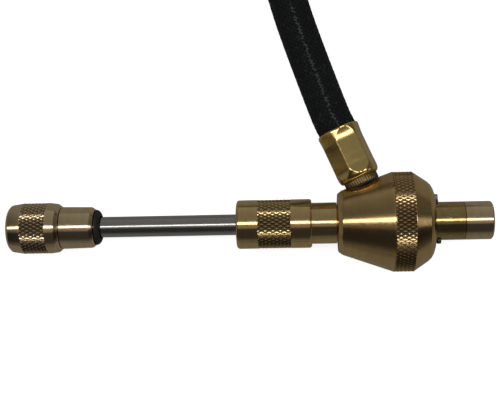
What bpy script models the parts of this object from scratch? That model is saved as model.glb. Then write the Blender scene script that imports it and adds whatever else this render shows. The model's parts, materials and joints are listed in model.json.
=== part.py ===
"""Hand torch for lampwork: a brass body with a gas hose at its side, a lance that slides out of a
knurled gland collar and carries a screw-on nozzle cap, and a tube that slides in its rear.

Metres, +Z up. The torch lies on its belt and its nozzle cap, with its axis in the XZ plane, the
nozzle towards -X and the hose towards +Y. The origin is below the middle of the torch, hose left
out, on the surface it lies on. Stations called ..._X are measured along the torch's own axis from
the middle of the belt, and stations called ..._T along the port's axis from the torch's axis.
"""

import math

import bmesh
import bpy
import numpy as np
from mathutils import Vector

# Fits
GAP = 0.0003  # between touching or sliding pieces
FINE, MEDIUM, ROUND = 20, 28, 44  # sides of small, middling and large turned pieces

# Lance with its nozzle
LANCE_RADIUS = 0.00335
LANCE_WALL = 0.00115
LANCE_SHOWING = 0.0437  # bare tube between the bumper and the collar
LANCE_TAIL = 0.0007  # tube behind the stop ring
STOP_WIDTH = 0.00135  # from the tube to the barrel's bore
STOP_LENGTH = 0.0030
BUMPER_WIDTH = 0.00265
BUMPER_LENGTH = 0.0028
BUMPER_ROUNDING = 0.0008
NECK_SPIGOT_WALL = 0.00165
NECK_SPIGOT_LENGTH = 0.0118
NECK_SHOULDER = 0.0018
NECK_LENGTH = 0.0096
NECK_CHAMFER = 0.0011
NECK_CHAMFER_DEPTH = 0.0007
LANCE_SOCKET_DEPTH = 0.0140
NOZZLE_LENGTH = 0.0172
NOZZLE_STEP = 0.0015  # from the neck out to the cap
NOZZLE_FRONT_DROP = 0.0006
NOZZLE_REAR_DROP = 0.0003
NOZZLE_TAPER = 0.0040
NOZZLE_REAR_CHAMFER = 0.0015
NOZZLE_LEDGE = 0.0006  # that holds the burner tip
EDGE = 0.0005
TIP_FLANGE = 0.0022
JET_COUNT = 6
JET_RADIUS = 0.00045
JET_CIRCLE_RADIUS = 0.0022
PILOT_RADIUS = 0.0007

# Front barrel and its packing
BARREL_WALL = 0.0014  # around the packing
BARREL_SHOWING = 0.0083
BARREL_SPIGOT_WALL = 0.0009
PACKING_WIDTH = 0.00185
PACKING_LENGTH = 0.0039
GUIDE_LAND_LENGTH = 0.0030
FOLLOWER_LENGTH = 0.0021
FOLLOWER_STANDS_OUT = 0.0009

# Gland collar
COLLAR_WALL = 0.00075  # around the neck, when that is pushed in
COLLAR_LENGTH = 0.0241
COLLAR_REAR_ROUNDING = 0.0005
COLLAR_WEB = 0.0014
COUNTERBORE_DEPTH = 0.0100

# Mixer body: a cone from the front rim to the belt
BELT_RADIUS = 0.0160
BELT_WIDTH = 0.0060
CONE_LENGTH = 0.0167
RIM_WIDTH = 0.0027
RIM_CHAMFER = 0.0013
RIM_CHAMFER_DEPTH = 0.0010
SPIGOT_LENGTH = 0.0066
SPIGOT_WALL = 0.0034
CHAMBER_CLEARANCE = 0.0012  # around the rear tube
SEAL_POCKET_WIDTH = 0.0013  # beyond the chamber's wall
SEAL_POCKET_DEPTH = 0.0040

# Rear tube and what holds it
TUBE_WALL = 0.0014
TUBE_SHOWING = 0.0177
TUBE_TRAVEL = 0.0096
TUBE_EDGE = 0.0005
TUBE_END_LENGTH = 0.0087
TUBE_SLEEVE_WALL = 0.0007  # inside the end ring
TUBE_STOP_LENGTH = 0.0012
TUBE_BEFORE_STOP = 0.0006
GLAND_WASHER_LENGTH = 0.0010
TUBE_SEAL_CORD_RADIUS = 0.0009
BUSH_FLANGE = 0.0007
BUSH_FLANGE_WIDTH = 0.0015
CLIP_THICKNESS = 0.0007
CLIP_WIDTH = 0.0012
CLIP_EAR_WIDTH = 0.0013
CLIP_EAR_HALF_ANGLE = math.radians(13)
CLIP_OPENING = math.radians(70)

# Regulator cap: the knurled belt and the rear cone
REAR_CONE_LENGTH = 0.0051
REAR_FACE_WIDTH = 0.0024
REAR_ROUNDING = 0.0025
REAR_ROUNDING_DEPTH = 0.0031
KNEE_ALONG, KNEE_OUT = 0.6, 0.55  # where the rounding bends, as shares of it
CAP_WEB_AFTER_SPIGOT = 0.0007

# O-rings in grooves
FRONT_SEAL_CORD_RADIUS = 0.00055
FRONT_SEAL_X_FROM_RIM = 0.0050
CAP_SEAL_CORD_RADIUS = 0.00075
CAP_SEAL_X_FROM_BELT = 0.0022

# Side port with the hose joint
PORT_BEFORE_BELT = 0.0044
PORT_LEAN = math.radians(22.5)  # towards the nozzle
PORT_DROOP = math.radians(5)  # towards the table
SPOTFACE_DEPTH = 0.0016
SPOTFACE_MARGIN = 0.0006
PORT_BORE_INSIDE_CHAMBER = 0.0028
NIPPLE_BEFORE_CHAMBER = 0.0017
NIPPLE_RADIUS = 0.0032
NIPPLE_WALL = 0.0016
NIPPLE_FLANGE_LENGTH = 0.0016
BARB_HEIGHT = 0.0005
BARB_COUNT = 3
BARB_PITCH = 0.0042
BARB_FOOT = 0.35  # where each barb starts, as a share of its pitch
WASHER_LENGTH = 0.0011
FERRULE_LENGTH = 0.0163
FERRULE_WALL = 0.0009
FERRULE_OVER_HOSE = 0.0005
FERRULE_BASE_CHAMFER = 0.0016
FERRULE_BASE_CHAMFER_DEPTH = 0.0011
FERRULE_LIP = 0.0010

# Hose, its coil and the fitting on its supply end
HOSE_RADIUS = 0.0060
HOSE_LIFT = 0.0002  # of its lowest side from the table
OUTER_TURN_RADIUS = 0.066  # of the coil, at the hose's middle
COIL_CENTRE = (-0.0067, 0.1350)  # from the hose's exit
COIL_ENTRY = math.radians(240)
LEAD_BEND_RADIUS = 0.050  # where the hose swings round to join the coil
LEAD_ROUTE = (  # across and along from the exit, and the rise above lying on the table
    (-0.0088, 0.0222, 0.0021),
    (-0.0132, 0.0362, 0.0005),
    (-0.0170, 0.0495, 0.0),
)
LEAD_STEP = 0.012
ROUTE_SAMPLES = 24  # between two chosen points
STEM_HEX_LENGTH = 0.0040
STEM_HEX_OVER_FERRULE = 0.0003
STEM_THREAD_DEPTH = 0.0020
STEM_THREAD_LENGTH = 0.0120
FITTING_ANGLE = math.radians(-82)  # where the supply fitting lies on the coil

# Radii that follow from the sizes above
LANCE_BORE_RADIUS = LANCE_RADIUS - LANCE_WALL
LANCE_HOLE_RADIUS = LANCE_RADIUS + GAP
BUMPER_RADIUS = LANCE_RADIUS + BUMPER_WIDTH
NECK_SPIGOT_RADIUS = LANCE_RADIUS + NECK_SPIGOT_WALL
NECK_RADIUS = NECK_SPIGOT_RADIUS + NECK_SHOULDER
NOZZLE_RADIUS = NECK_RADIUS + NOZZLE_STEP
NOZZLE_FRONT_RADIUS = NOZZLE_RADIUS - NOZZLE_FRONT_DROP
NOZZLE_REAR_RADIUS = NOZZLE_RADIUS - NOZZLE_REAR_DROP
NOZZLE_MOUTH_RADIUS = NECK_SPIGOT_RADIUS - NOZZLE_LEDGE
BARREL_BORE_RADIUS = LANCE_RADIUS + STOP_WIDTH
PACKING_POCKET_RADIUS = LANCE_RADIUS + PACKING_WIDTH
BARREL_RADIUS = PACKING_POCKET_RADIUS + BARREL_WALL
BARREL_SPIGOT_RADIUS = BARREL_BORE_RADIUS + BARREL_SPIGOT_WALL
COLLAR_RADIUS = max(NECK_RADIUS, BARREL_RADIUS) + GAP + COLLAR_WALL
TUBE_BORE_RADIUS = BARREL_BORE_RADIUS
TUBE_RADIUS = TUBE_BORE_RADIUS + TUBE_WALL
TUBE_HOLE_RADIUS = TUBE_RADIUS + GAP
TUBE_SLEEVE_RADIUS = TUBE_BORE_RADIUS + TUBE_SLEEVE_WALL
CHAMBER_RADIUS = TUBE_RADIUS + CHAMBER_CLEARANCE
SEAL_POCKET_RADIUS = CHAMBER_RADIUS + SEAL_POCKET_WIDTH
SPIGOT_RADIUS = SEAL_POCKET_RADIUS + SPIGOT_WALL
TUBE_STOP_RADIUS = CHAMBER_RADIUS - GAP
BUSH_RADIUS = SEAL_POCKET_RADIUS - BUSH_FLANGE_WIDTH
CLIP_RADIUS = TUBE_RADIUS + CLIP_WIDTH
CLIP_EAR_RADIUS = CLIP_RADIUS + CLIP_EAR_WIDTH
REAR_FACE_RADIUS = BUSH_RADIUS + REAR_FACE_WIDTH
REAR_CONE_RADIUS = REAR_FACE_RADIUS + REAR_ROUNDING_DEPTH
RIM_RADIUS = BARREL_RADIUS + RIM_WIDTH
CONE_FRONT_RADIUS = RIM_RADIUS + RIM_CHAMFER_DEPTH
FERRULE_RADIUS = HOSE_RADIUS + FERRULE_OVER_HOSE
FERRULE_BASE_RADIUS = FERRULE_RADIUS - FERRULE_BASE_CHAMFER_DEPTH
NIPPLE_BORE_RADIUS = NIPPLE_RADIUS - NIPPLE_WALL
NIPPLE_FLANGE_RADIUS = FERRULE_BASE_RADIUS
BARB_ROOT_RADIUS = NIPPLE_RADIUS - BARB_HEIGHT
SPOTFACE_RADIUS = NIPPLE_FLANGE_RADIUS + SPOTFACE_MARGIN
PORT_BORE_RADIUS = NIPPLE_RADIUS + GAP
STEM_HEX_RADIUS = FERRULE_RADIUS + STEM_HEX_OVER_FERRULE
STEM_THREAD_RADIUS = STEM_HEX_RADIUS - STEM_THREAD_DEPTH
INNER_TURN_RADIUS = OUTER_TURN_RADIUS - 2 * HOSE_RADIUS
LAYER = 2 * HOSE_RADIUS
ON_TABLE = HOSE_RADIUS + HOSE_LIFT

# Stations along the torch
BELT_FRONT_X = -BELT_WIDTH / 2
BELT_REAR_X = BELT_WIDTH / 2
CONE_FRONT_X = BELT_FRONT_X - CONE_LENGTH
RIM_X = CONE_FRONT_X - RIM_CHAMFER
SPIGOT_END_X = BELT_FRONT_X + SPIGOT_LENGTH
SEAL_POCKET_X = SPIGOT_END_X - SEAL_POCKET_DEPTH
CAP_WEB_X = SPIGOT_END_X + CAP_WEB_AFTER_SPIGOT
REAR_CONE_X = BELT_REAR_X + REAR_CONE_LENGTH
REAR_FACE_X = REAR_CONE_X + REAR_ROUNDING
TUBE_STOP_X = SEAL_POCKET_X - TUBE_STOP_LENGTH
TUBE_FRONT_X = TUBE_STOP_X - TUBE_BEFORE_STOP
TUBE_REAR_X = REAR_FACE_X + TUBE_SHOWING
TUBE_SEAM_X = TUBE_REAR_X - TUBE_END_LENGTH
BARREL_SPIGOT_X = TUBE_FRONT_X - TUBE_TRAVEL - 2 * GAP
COLLAR_REAR_X = RIM_X - BARREL_SHOWING
COLLAR_FRONT_X = COLLAR_REAR_X - COLLAR_LENGTH
COLLAR_FLOOR_X = COLLAR_FRONT_X + COUNTERBORE_DEPTH
COLLAR_WEB_X = COLLAR_FLOOR_X + COLLAR_WEB
FOLLOWER_X = COLLAR_WEB_X + GAP
BARREL_FRONT_X = FOLLOWER_X + FOLLOWER_STANDS_OUT
PACKING_X = FOLLOWER_X + FOLLOWER_LENGTH + GAP
PACKING_FLOOR_X = PACKING_X + PACKING_LENGTH + GAP
GUIDE_LAND_X = PACKING_FLOOR_X + GUIDE_LAND_LENGTH
BUMPER_REAR_X = COLLAR_FRONT_X - LANCE_SHOWING
BUMPER_FRONT_X = BUMPER_REAR_X - BUMPER_LENGTH
NECK_REAR_X = BUMPER_FRONT_X - GAP
NECK_SHOULDER_X = NECK_REAR_X - NECK_LENGTH
NECK_FRONT_X = NECK_SHOULDER_X - NECK_SPIGOT_LENGTH
LANCE_FRONT_X = NECK_REAR_X - LANCE_SOCKET_DEPTH + GAP
STOP_X = GUIDE_LAND_X + GAP
LANCE_REAR_X = STOP_X + STOP_LENGTH + LANCE_TAIL
NOZZLE_REAR_X = NECK_SHOULDER_X - GAP
NOZZLE_FRONT_X = NOZZLE_REAR_X - NOZZLE_LENGTH
WASHER_X = SEAL_POCKET_X + GAP
TUBE_SEAL_X = WASHER_X + GLAND_WASHER_LENGTH + GAP + TUBE_SEAL_CORD_RADIUS
BUSH_X = TUBE_SEAL_X + TUBE_SEAL_CORD_RADIUS + GAP
CLIP_X = REAR_FACE_X + GAP
PORT_X = BELT_FRONT_X - PORT_BEFORE_BELT
BELT_REST = (BELT_FRONT_X + GAP, BELT_RADIUS)
NOZZLE_REST = (NOZZLE_FRONT_X + NOZZLE_TAPER, NOZZLE_RADIUS)
REST_TILT = math.atan2(BELT_REST[1] - NOZZLE_REST[1], BELT_REST[0] - NOZZLE_REST[0])

# Stations along the port
CONE_SLOPE = (BELT_RADIUS - CONE_FRONT_RADIUS) / CONE_LENGTH
SPOTFACE_T = BELT_RADIUS - CONE_SLOPE * PORT_BEFORE_BELT - SPOTFACE_DEPTH
PORT_BORE_T = CHAMBER_RADIUS - PORT_BORE_INSIDE_CHAMBER
NIPPLE_T = CHAMBER_RADIUS + NIPPLE_BEFORE_CHAMBER
PORT_WASHER_T = SPOTFACE_T + GAP
FLANGE_T = PORT_WASHER_T + WASHER_LENGTH + GAP
FERRULE_T = FLANGE_T + NIPPLE_FLANGE_LENGTH + GAP
HOSE_EXIT_T = FERRULE_T + FERRULE_LENGTH + GAP

MATERIALS = {  # base colour, roughness, metallic
    "brass": ((0.52, 0.39, 0.17), 0.30, 1.0),
    "pale_brass": ((0.62, 0.51, 0.30), 0.28, 1.0),
    "steel": ((0.45, 0.44, 0.42), 0.22, 1.0),
    "spring_steel": ((0.30, 0.30, 0.31), 0.35, 1.0),
    "rubber": ((0.03, 0.03, 0.03), 0.70, 0.0),
    "packing": ((0.75, 0.74, 0.70), 0.50, 0.0),
    "braid": ((0.015, 0.015, 0.017), 0.80, 0.0),
}


def make_material(name):
    colour, roughness, metallic = MATERIALS[name]
    material = bpy.data.materials.get(name) or bpy.data.materials.new(name)
    material.use_nodes = True
    shader = material.node_tree.nodes["Principled BSDF"]
    shader.inputs["Base Color"].default_value = (*colour, 1.0)
    shader.inputs["Roughness"].default_value = roughness
    shader.inputs["Metallic"].default_value = metallic
    material.diffuse_color = (*colour, 1.0)
    return material


def add_object(name, data, parent=None, material=None):
    thing = bpy.data.objects.new(name, data)
    bpy.context.scene.collection.objects.link(thing)
    thing.parent = parent
    if material:
        data.materials.append(make_material(material))
    return thing


def mesh_from(name, bm, sharp_angle=math.radians(35)):
    bmesh.ops.recalc_face_normals(bm, faces=bm.faces)
    mesh = bpy.data.meshes.new(name)
    bm.to_mesh(mesh)
    bm.free()
    mesh.shade_smooth()
    mesh.set_sharp_from_angle(angle=sharp_angle)
    return mesh


def turned_mesh(name, outline, sides):
    """A closed outline of (x, radius) points, clear of the axis, turned about X."""
    bm = bmesh.new()
    rings = []
    for k in range(sides):
        turn = 2 * math.pi * k / sides
        rings.append([bm.verts.new((x, r * math.cos(turn), r * math.sin(turn))) for x, r in outline])
    for k, ring in enumerate(rings):
        following = rings[(k + 1) % sides]
        for i in range(len(outline)):
            j = (i + 1) % len(outline)
            bm.faces.new((ring[i], ring[j], following[j], following[i]))
    return mesh_from(name, bm)


def turned(name, outline, material, parent, sides=MEDIUM):
    return add_object(name, turned_mesh(name, outline, sides), parent, material)


def sleeve(front, rear, inner, outer):
    """The outline of a plain ring or tube."""
    return [(front, inner), (front, outer), (rear, outer), (rear, inner)]


def seal_ring(name, x, middle, cord, material, parent):
    """An O-ring whose section is a circle of radius cord, middle from the axis."""
    steps = 8
    turns = [2 * math.pi * (k + 0.5) / steps for k in range(steps)]
    outline = [(x - cord * math.cos(a), middle + cord * math.sin(a)) for a in turns]
    return turned(name, outline, material, parent, FINE)


def arc(centre, radius, start, end, steps):
    """Points (x, radius) on a fillet, its angles in degrees from +X towards larger radius."""
    angles = [math.radians(start + (end - start) * k / steps) for k in range(steps + 1)]
    return [(centre[0] + radius * math.cos(a), centre[1] + radius * math.sin(a)) for a in angles]


def cutter(name, mesh, parent):
    thing = add_object(name, mesh, parent)
    thing.hide_render = True
    thing.display_type = "WIRE"
    return thing


def rod_mesh(name, start, end, radius, sides=FINE, offset=(0.0, 0.0)):
    """A solid round bar along X."""
    bm = bmesh.new()
    ends = []
    for x in (start, end):
        ring = []
        for k in range(sides):
            turn = 2 * math.pi * k / sides
            y, z = offset[0] + radius * math.cos(turn), offset[1] + radius * math.sin(turn)
            ring.append(bm.verts.new((x, y, z)))
        ends.append(ring)
        bm.faces.new(ring)
    for k in range(sides):
        j = (k + 1) % sides
        bm.faces.new((ends[0][k], ends[0][j], ends[1][j], ends[1][k]))
    return mesh_from(name, bm)


def cut(thing, tool):
    boolean = thing.modifiers.new(tool.name, "BOOLEAN")
    boolean.operation = "DIFFERENCE"
    boolean.solver = "EXACT"
    boolean.object = tool


def make_frames():
    """Empties for the torch's axis and the port's axis. Each piece's X runs along one of them."""
    torch = add_object("torch_axis", None)
    torch.rotation_euler = (0.0, -REST_TILT, 0.0)
    direction = Vector(
        (
            -math.sin(PORT_LEAN),
            math.cos(PORT_LEAN) * math.cos(PORT_DROOP),
            -math.cos(PORT_LEAN) * math.sin(PORT_DROOP),
        )
    )
    port = add_object("port_axis", None, torch)
    port.location = (PORT_X, 0.0, 0.0)
    port.rotation_mode = "QUATERNION"
    port.rotation_quaternion = direction.to_track_quat("X", "Z")
    return torch, port


def make_body(torch, port):
    seal_x = RIM_X + FRONT_SEAL_X_FROM_RIM
    seal_half = FRONT_SEAL_CORD_RADIUS + GAP
    bore = BARREL_SPIGOT_RADIUS + GAP
    seal_groove = bore + 2 * FRONT_SEAL_CORD_RADIUS + GAP
    cap_seal_x = BELT_FRONT_X + CAP_SEAL_X_FROM_BELT
    cap_seal_half = CAP_SEAL_CORD_RADIUS + GAP
    cap_groove = SPIGOT_RADIUS - 2 * CAP_SEAL_CORD_RADIUS - GAP
    outline = [
        (RIM_X, bore),
        (RIM_X, RIM_RADIUS),
        (CONE_FRONT_X, CONE_FRONT_RADIUS),
        (BELT_FRONT_X, BELT_RADIUS),
        (BELT_FRONT_X, SPIGOT_RADIUS),
        (cap_seal_x - cap_seal_half, SPIGOT_RADIUS),
        (cap_seal_x - cap_seal_half, cap_groove),
        (cap_seal_x + cap_seal_half, cap_groove),
        (cap_seal_x + cap_seal_half, SPIGOT_RADIUS),
        (SPIGOT_END_X, SPIGOT_RADIUS),
        (SPIGOT_END_X, SEAL_POCKET_RADIUS),
        (SEAL_POCKET_X, SEAL_POCKET_RADIUS),
        (SEAL_POCKET_X, CHAMBER_RADIUS),
        (BARREL_SPIGOT_X + GAP, CHAMBER_RADIUS),
        (BARREL_SPIGOT_X + GAP, bore),
        (seal_x + seal_half, bore),
        (seal_x + seal_half, seal_groove),
        (seal_x - seal_half, seal_groove),
        (seal_x - seal_half, bore),
    ]
    body = turned("mixer_body", outline, "brass", torch, ROUND)
    reach = BELT_RADIUS + FERRULE_LENGTH
    spotface = rod_mesh("spotface_cutter", SPOTFACE_T, reach, SPOTFACE_RADIUS, MEDIUM)
    port_bore = rod_mesh("port_bore_cutter", PORT_BORE_T, reach, PORT_BORE_RADIUS, FINE)
    cut(body, cutter("spotface_cutter", spotface, port))
    cut(body, cutter("port_bore_cutter", port_bore, port))
    seal_middle = bore + FRONT_SEAL_CORD_RADIUS
    seal_ring("barrel_oring", seal_x, seal_middle, FRONT_SEAL_CORD_RADIUS, "rubber", torch)
    cap_seal_middle = SPIGOT_RADIUS - CAP_SEAL_CORD_RADIUS
    seal_ring("cap_oring", cap_seal_x, cap_seal_middle, CAP_SEAL_CORD_RADIUS, "rubber", torch)


def make_regulator_cap(torch):
    front = BELT_FRONT_X + GAP
    spigot_bore = SPIGOT_RADIUS + GAP
    bush_bore = BUSH_RADIUS + GAP
    knee = (REAR_CONE_X + KNEE_ALONG * REAR_ROUNDING, REAR_FACE_RADIUS + KNEE_OUT * REAR_ROUNDING_DEPTH)
    outline = [
        (front, spigot_bore),
        (front, BELT_RADIUS),
        (BELT_REAR_X, BELT_RADIUS),
        (REAR_CONE_X, REAR_CONE_RADIUS),
        knee,
        (REAR_FACE_X, REAR_FACE_RADIUS),
        (REAR_FACE_X, bush_bore),
        (CAP_WEB_X, bush_bore),
        (CAP_WEB_X, spigot_bore),
    ]
    turned("regulator_cap", outline, "brass", torch, ROUND)
    bush = [
        (BUSH_X, TUBE_HOLE_RADIUS),
        (BUSH_X, SEAL_POCKET_RADIUS - GAP),
        (BUSH_X + BUSH_FLANGE, SEAL_POCKET_RADIUS - GAP),
        (BUSH_X + BUSH_FLANGE, BUSH_RADIUS),
        (REAR_FACE_X, BUSH_RADIUS),
        (REAR_FACE_X, TUBE_HOLE_RADIUS),
    ]
    turned("rear_bush", bush, "packing", torch, FINE)


def make_clip(torch):
    """An open ring of spring steel around the rear tube, with an ear towards the hose's side."""
    steps = 36
    start = -math.pi / 2 + CLIP_OPENING / 2
    sweep = 2 * math.pi - CLIP_OPENING
    bm = bmesh.new()
    sections = []
    for k in range(steps + 1):
        turn = start + sweep * k / steps
        outer = CLIP_EAR_RADIUS if abs(turn) < CLIP_EAR_HALF_ANGLE else CLIP_RADIUS
        corners = (
            (CLIP_X, TUBE_HOLE_RADIUS),
            (CLIP_X, outer),
            (CLIP_X + CLIP_THICKNESS, outer),
            (CLIP_X + CLIP_THICKNESS, TUBE_HOLE_RADIUS),
        )
        sections.append([bm.verts.new((x, r * math.cos(turn), r * math.sin(turn))) for x, r in corners])
    for near, far in zip(sections, sections[1:]):
        for i in range(4):
            j = (i + 1) % 4
            bm.faces.new((near[i], near[j], far[j], far[i]))
    bm.faces.new(sections[0])
    bm.faces.new(sections[-1])
    add_object("retaining_clip", mesh_from("retaining_clip", bm), torch, "spring_steel")


def make_barrel(torch):
    outline = [
        (BARREL_FRONT_X, PACKING_POCKET_RADIUS),
        (BARREL_FRONT_X, BARREL_RADIUS),
        (RIM_X - GAP, BARREL_RADIUS),
        (RIM_X - GAP, BARREL_SPIGOT_RADIUS),
        (BARREL_SPIGOT_X, BARREL_SPIGOT_RADIUS),
        (BARREL_SPIGOT_X, BARREL_BORE_RADIUS),
        (GUIDE_LAND_X, BARREL_BORE_RADIUS),
        (GUIDE_LAND_X, LANCE_HOLE_RADIUS),
        (PACKING_FLOOR_X, LANCE_HOLE_RADIUS),
        (PACKING_FLOOR_X, PACKING_POCKET_RADIUS),
    ]
    turned("front_barrel", outline, "brass", torch)
    outer = PACKING_POCKET_RADIUS - GAP
    packing = sleeve(PACKING_X, PACKING_X + PACKING_LENGTH, LANCE_HOLE_RADIUS, outer)
    turned("lance_packing", packing, "packing", torch, FINE)
    follower = sleeve(FOLLOWER_X, FOLLOWER_X + FOLLOWER_LENGTH, LANCE_HOLE_RADIUS, outer)
    turned("packing_follower", follower, "brass", torch, FINE)


def make_collar(torch):
    mouth = NECK_RADIUS + GAP
    front_rounding = COLLAR_RADIUS - mouth
    rear_corner = (COLLAR_REAR_X - COLLAR_REAR_ROUNDING, COLLAR_RADIUS - COLLAR_REAR_ROUNDING)
    outline = [
        *arc((COLLAR_FRONT_X + front_rounding, mouth), front_rounding, 180, 90, 3),
        *arc(rear_corner, COLLAR_REAR_ROUNDING, 90, 0, 2),
        (COLLAR_REAR_X, BARREL_RADIUS + GAP),
        (COLLAR_WEB_X, BARREL_RADIUS + GAP),
        (COLLAR_WEB_X, LANCE_HOLE_RADIUS),
        (COLLAR_FLOOR_X, LANCE_HOLE_RADIUS),
        (COLLAR_FLOOR_X, mouth),
    ]
    turned("gland_collar", outline, "brass", torch, ROUND)


def make_lance(torch):
    lance = sleeve(LANCE_FRONT_X, LANCE_REAR_X, LANCE_BORE_RADIUS, LANCE_RADIUS)
    turned("lance_tube", lance, "steel", torch)
    stop = sleeve(STOP_X, STOP_X + STOP_LENGTH, LANCE_HOLE_RADIUS, BARREL_BORE_RADIUS - GAP)
    turned("lance_stop", stop, "brass", torch, FINE)
    corner = BUMPER_RADIUS - BUMPER_ROUNDING
    bumper = [
        (BUMPER_FRONT_X, LANCE_HOLE_RADIUS),
        (BUMPER_FRONT_X, BUMPER_RADIUS - GAP),
        (BUMPER_FRONT_X + GAP, BUMPER_RADIUS),
        *arc((BUMPER_REAR_X - BUMPER_ROUNDING, corner), BUMPER_ROUNDING, 90, 0, 3),
        (BUMPER_REAR_X, LANCE_HOLE_RADIUS),
    ]
    turned("rubber_bumper", bumper, "rubber", torch)
    socket_floor = NECK_REAR_X - LANCE_SOCKET_DEPTH
    neck = [
        (NECK_FRONT_X, LANCE_BORE_RADIUS),
        (NECK_FRONT_X, NECK_SPIGOT_RADIUS),
        (NECK_SHOULDER_X, NECK_SPIGOT_RADIUS),
        (NECK_SHOULDER_X, NECK_RADIUS),
        (NECK_REAR_X - NECK_CHAMFER, NECK_RADIUS),
        (NECK_REAR_X, NECK_RADIUS - NECK_CHAMFER_DEPTH),
        (NECK_REAR_X, LANCE_HOLE_RADIUS),
        (socket_floor, LANCE_HOLE_RADIUS),
        (socket_floor, LANCE_BORE_RADIUS),
    ]
    turned("nozzle_neck", neck, "pale_brass", torch)


def make_nozzle(torch):
    thread = NECK_SPIGOT_RADIUS + GAP
    tip_pocket = NECK_FRONT_X - GAP - TIP_FLANGE - GAP
    outline = [
        (NOZZLE_FRONT_X, NOZZLE_MOUTH_RADIUS),
        (NOZZLE_FRONT_X, NOZZLE_FRONT_RADIUS - EDGE),
        (NOZZLE_FRONT_X + EDGE, NOZZLE_FRONT_RADIUS),
        (NOZZLE_FRONT_X + NOZZLE_TAPER, NOZZLE_RADIUS),
        (NOZZLE_REAR_X - NOZZLE_TAPER, NOZZLE_RADIUS),
        (NOZZLE_REAR_X - NOZZLE_REAR_CHAMFER, NOZZLE_REAR_RADIUS),
        (NOZZLE_REAR_X, NECK_RADIUS),
        (NOZZLE_REAR_X, thread),
        (tip_pocket, thread),
        (tip_pocket, NOZZLE_MOUTH_RADIUS),
    ]
    turned("nozzle_cap", outline, "pale_brass", torch, ROUND)
    flange_front = tip_pocket + GAP
    nose = NOZZLE_MOUTH_RADIUS - GAP
    tip = [
        (NOZZLE_FRONT_X + EDGE, PILOT_RADIUS),
        (NOZZLE_FRONT_X + EDGE, nose),
        (flange_front, nose),
        (flange_front, NECK_SPIGOT_RADIUS),
        (flange_front + TIP_FLANGE, NECK_SPIGOT_RADIUS),
        (flange_front + TIP_FLANGE, PILOT_RADIUS),
    ]
    burner = turned("burner_tip", tip, "brass", torch, 2 * JET_COUNT)
    for k in range(JET_COUNT):
        turn = 2 * math.pi * (k + 0.25) / JET_COUNT
        offset = (JET_CIRCLE_RADIUS * math.cos(turn), JET_CIRCLE_RADIUS * math.sin(turn))
        name = f"jet_cutter_{k}"
        jet = rod_mesh(name, NOZZLE_FRONT_X - EDGE, NECK_FRONT_X, JET_RADIUS, 8, offset)
        cut(burner, cutter(name, jet, torch))


def make_rear_tube(torch):
    sleeve_bore = TUBE_SLEEVE_RADIUS + GAP
    outline = [
        (TUBE_FRONT_X, TUBE_BORE_RADIUS),
        (TUBE_FRONT_X, TUBE_RADIUS),
        (TUBE_SEAM_X - GAP, TUBE_RADIUS),
        (TUBE_SEAM_X - GAP, TUBE_SLEEVE_RADIUS),
        (TUBE_REAR_X - TUBE_EDGE, TUBE_SLEEVE_RADIUS),
        (TUBE_REAR_X - TUBE_EDGE, TUBE_BORE_RADIUS),
    ]
    turned("rear_tube", outline, "brass", torch)
    end = [
        (TUBE_SEAM_X, sleeve_bore),
        (TUBE_SEAM_X, TUBE_RADIUS),
        (TUBE_REAR_X - TUBE_EDGE, TUBE_RADIUS),
        (TUBE_REAR_X, TUBE_RADIUS - TUBE_EDGE),
        (TUBE_REAR_X, TUBE_BORE_RADIUS),
        (TUBE_REAR_X - TUBE_EDGE + GAP, TUBE_BORE_RADIUS),
        (TUBE_REAR_X - TUBE_EDGE + GAP, sleeve_bore),
    ]
    turned("tube_end_ring", end, "pale_brass", torch)
    stop = sleeve(TUBE_STOP_X, SEAL_POCKET_X, TUBE_HOLE_RADIUS, TUBE_STOP_RADIUS)
    turned("rear_tube_stop", stop, "spring_steel", torch, FINE)
    outer = SEAL_POCKET_RADIUS - GAP
    washer = sleeve(WASHER_X, WASHER_X + GLAND_WASHER_LENGTH, TUBE_HOLE_RADIUS, outer)
    turned("seal_washer", washer, "brass", torch, FINE)
    middle = TUBE_HOLE_RADIUS + TUBE_SEAL_CORD_RADIUS
    seal_ring("rear_tube_oring", TUBE_SEAL_X, middle, TUBE_SEAL_CORD_RADIUS, "rubber", torch)


def barbs(start):
    """The outer outline of the nipple's barbs, from the flange outwards."""
    points = [(start, BARB_ROOT_RADIUS)]
    for k in range(BARB_COUNT):
        foot = start + BARB_PITCH * (k + BARB_FOOT)
        points.append((foot, BARB_ROOT_RADIUS))
        points.append((foot, NIPPLE_RADIUS))
        points.append((start + BARB_PITCH * (k + 1), BARB_ROOT_RADIUS))
    return points


def make_crimp(prefix, frame, start):
    """The ferrule and the hose's end inside it, whose base is at start along the frame's X."""
    bore = FERRULE_RADIUS - FERRULE_WALL
    lip = NIPPLE_RADIUS + GAP
    end = start + FERRULE_LENGTH
    ferrule = [
        (start, lip),
        (start, FERRULE_BASE_RADIUS),
        (start + FERRULE_BASE_CHAMFER, FERRULE_RADIUS),
        (end, FERRULE_RADIUS),
        (end, bore),
        (start + FERRULE_LIP, bore),
        (start + FERRULE_LIP, lip),
    ]
    turned(f"{prefix}_ferrule", ferrule, "brass", frame)
    inside = sleeve(start + FERRULE_LIP + GAP, end, lip, bore - GAP)
    turned(f"{prefix}_hose_end", inside, "rubber", frame, FINE)


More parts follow.
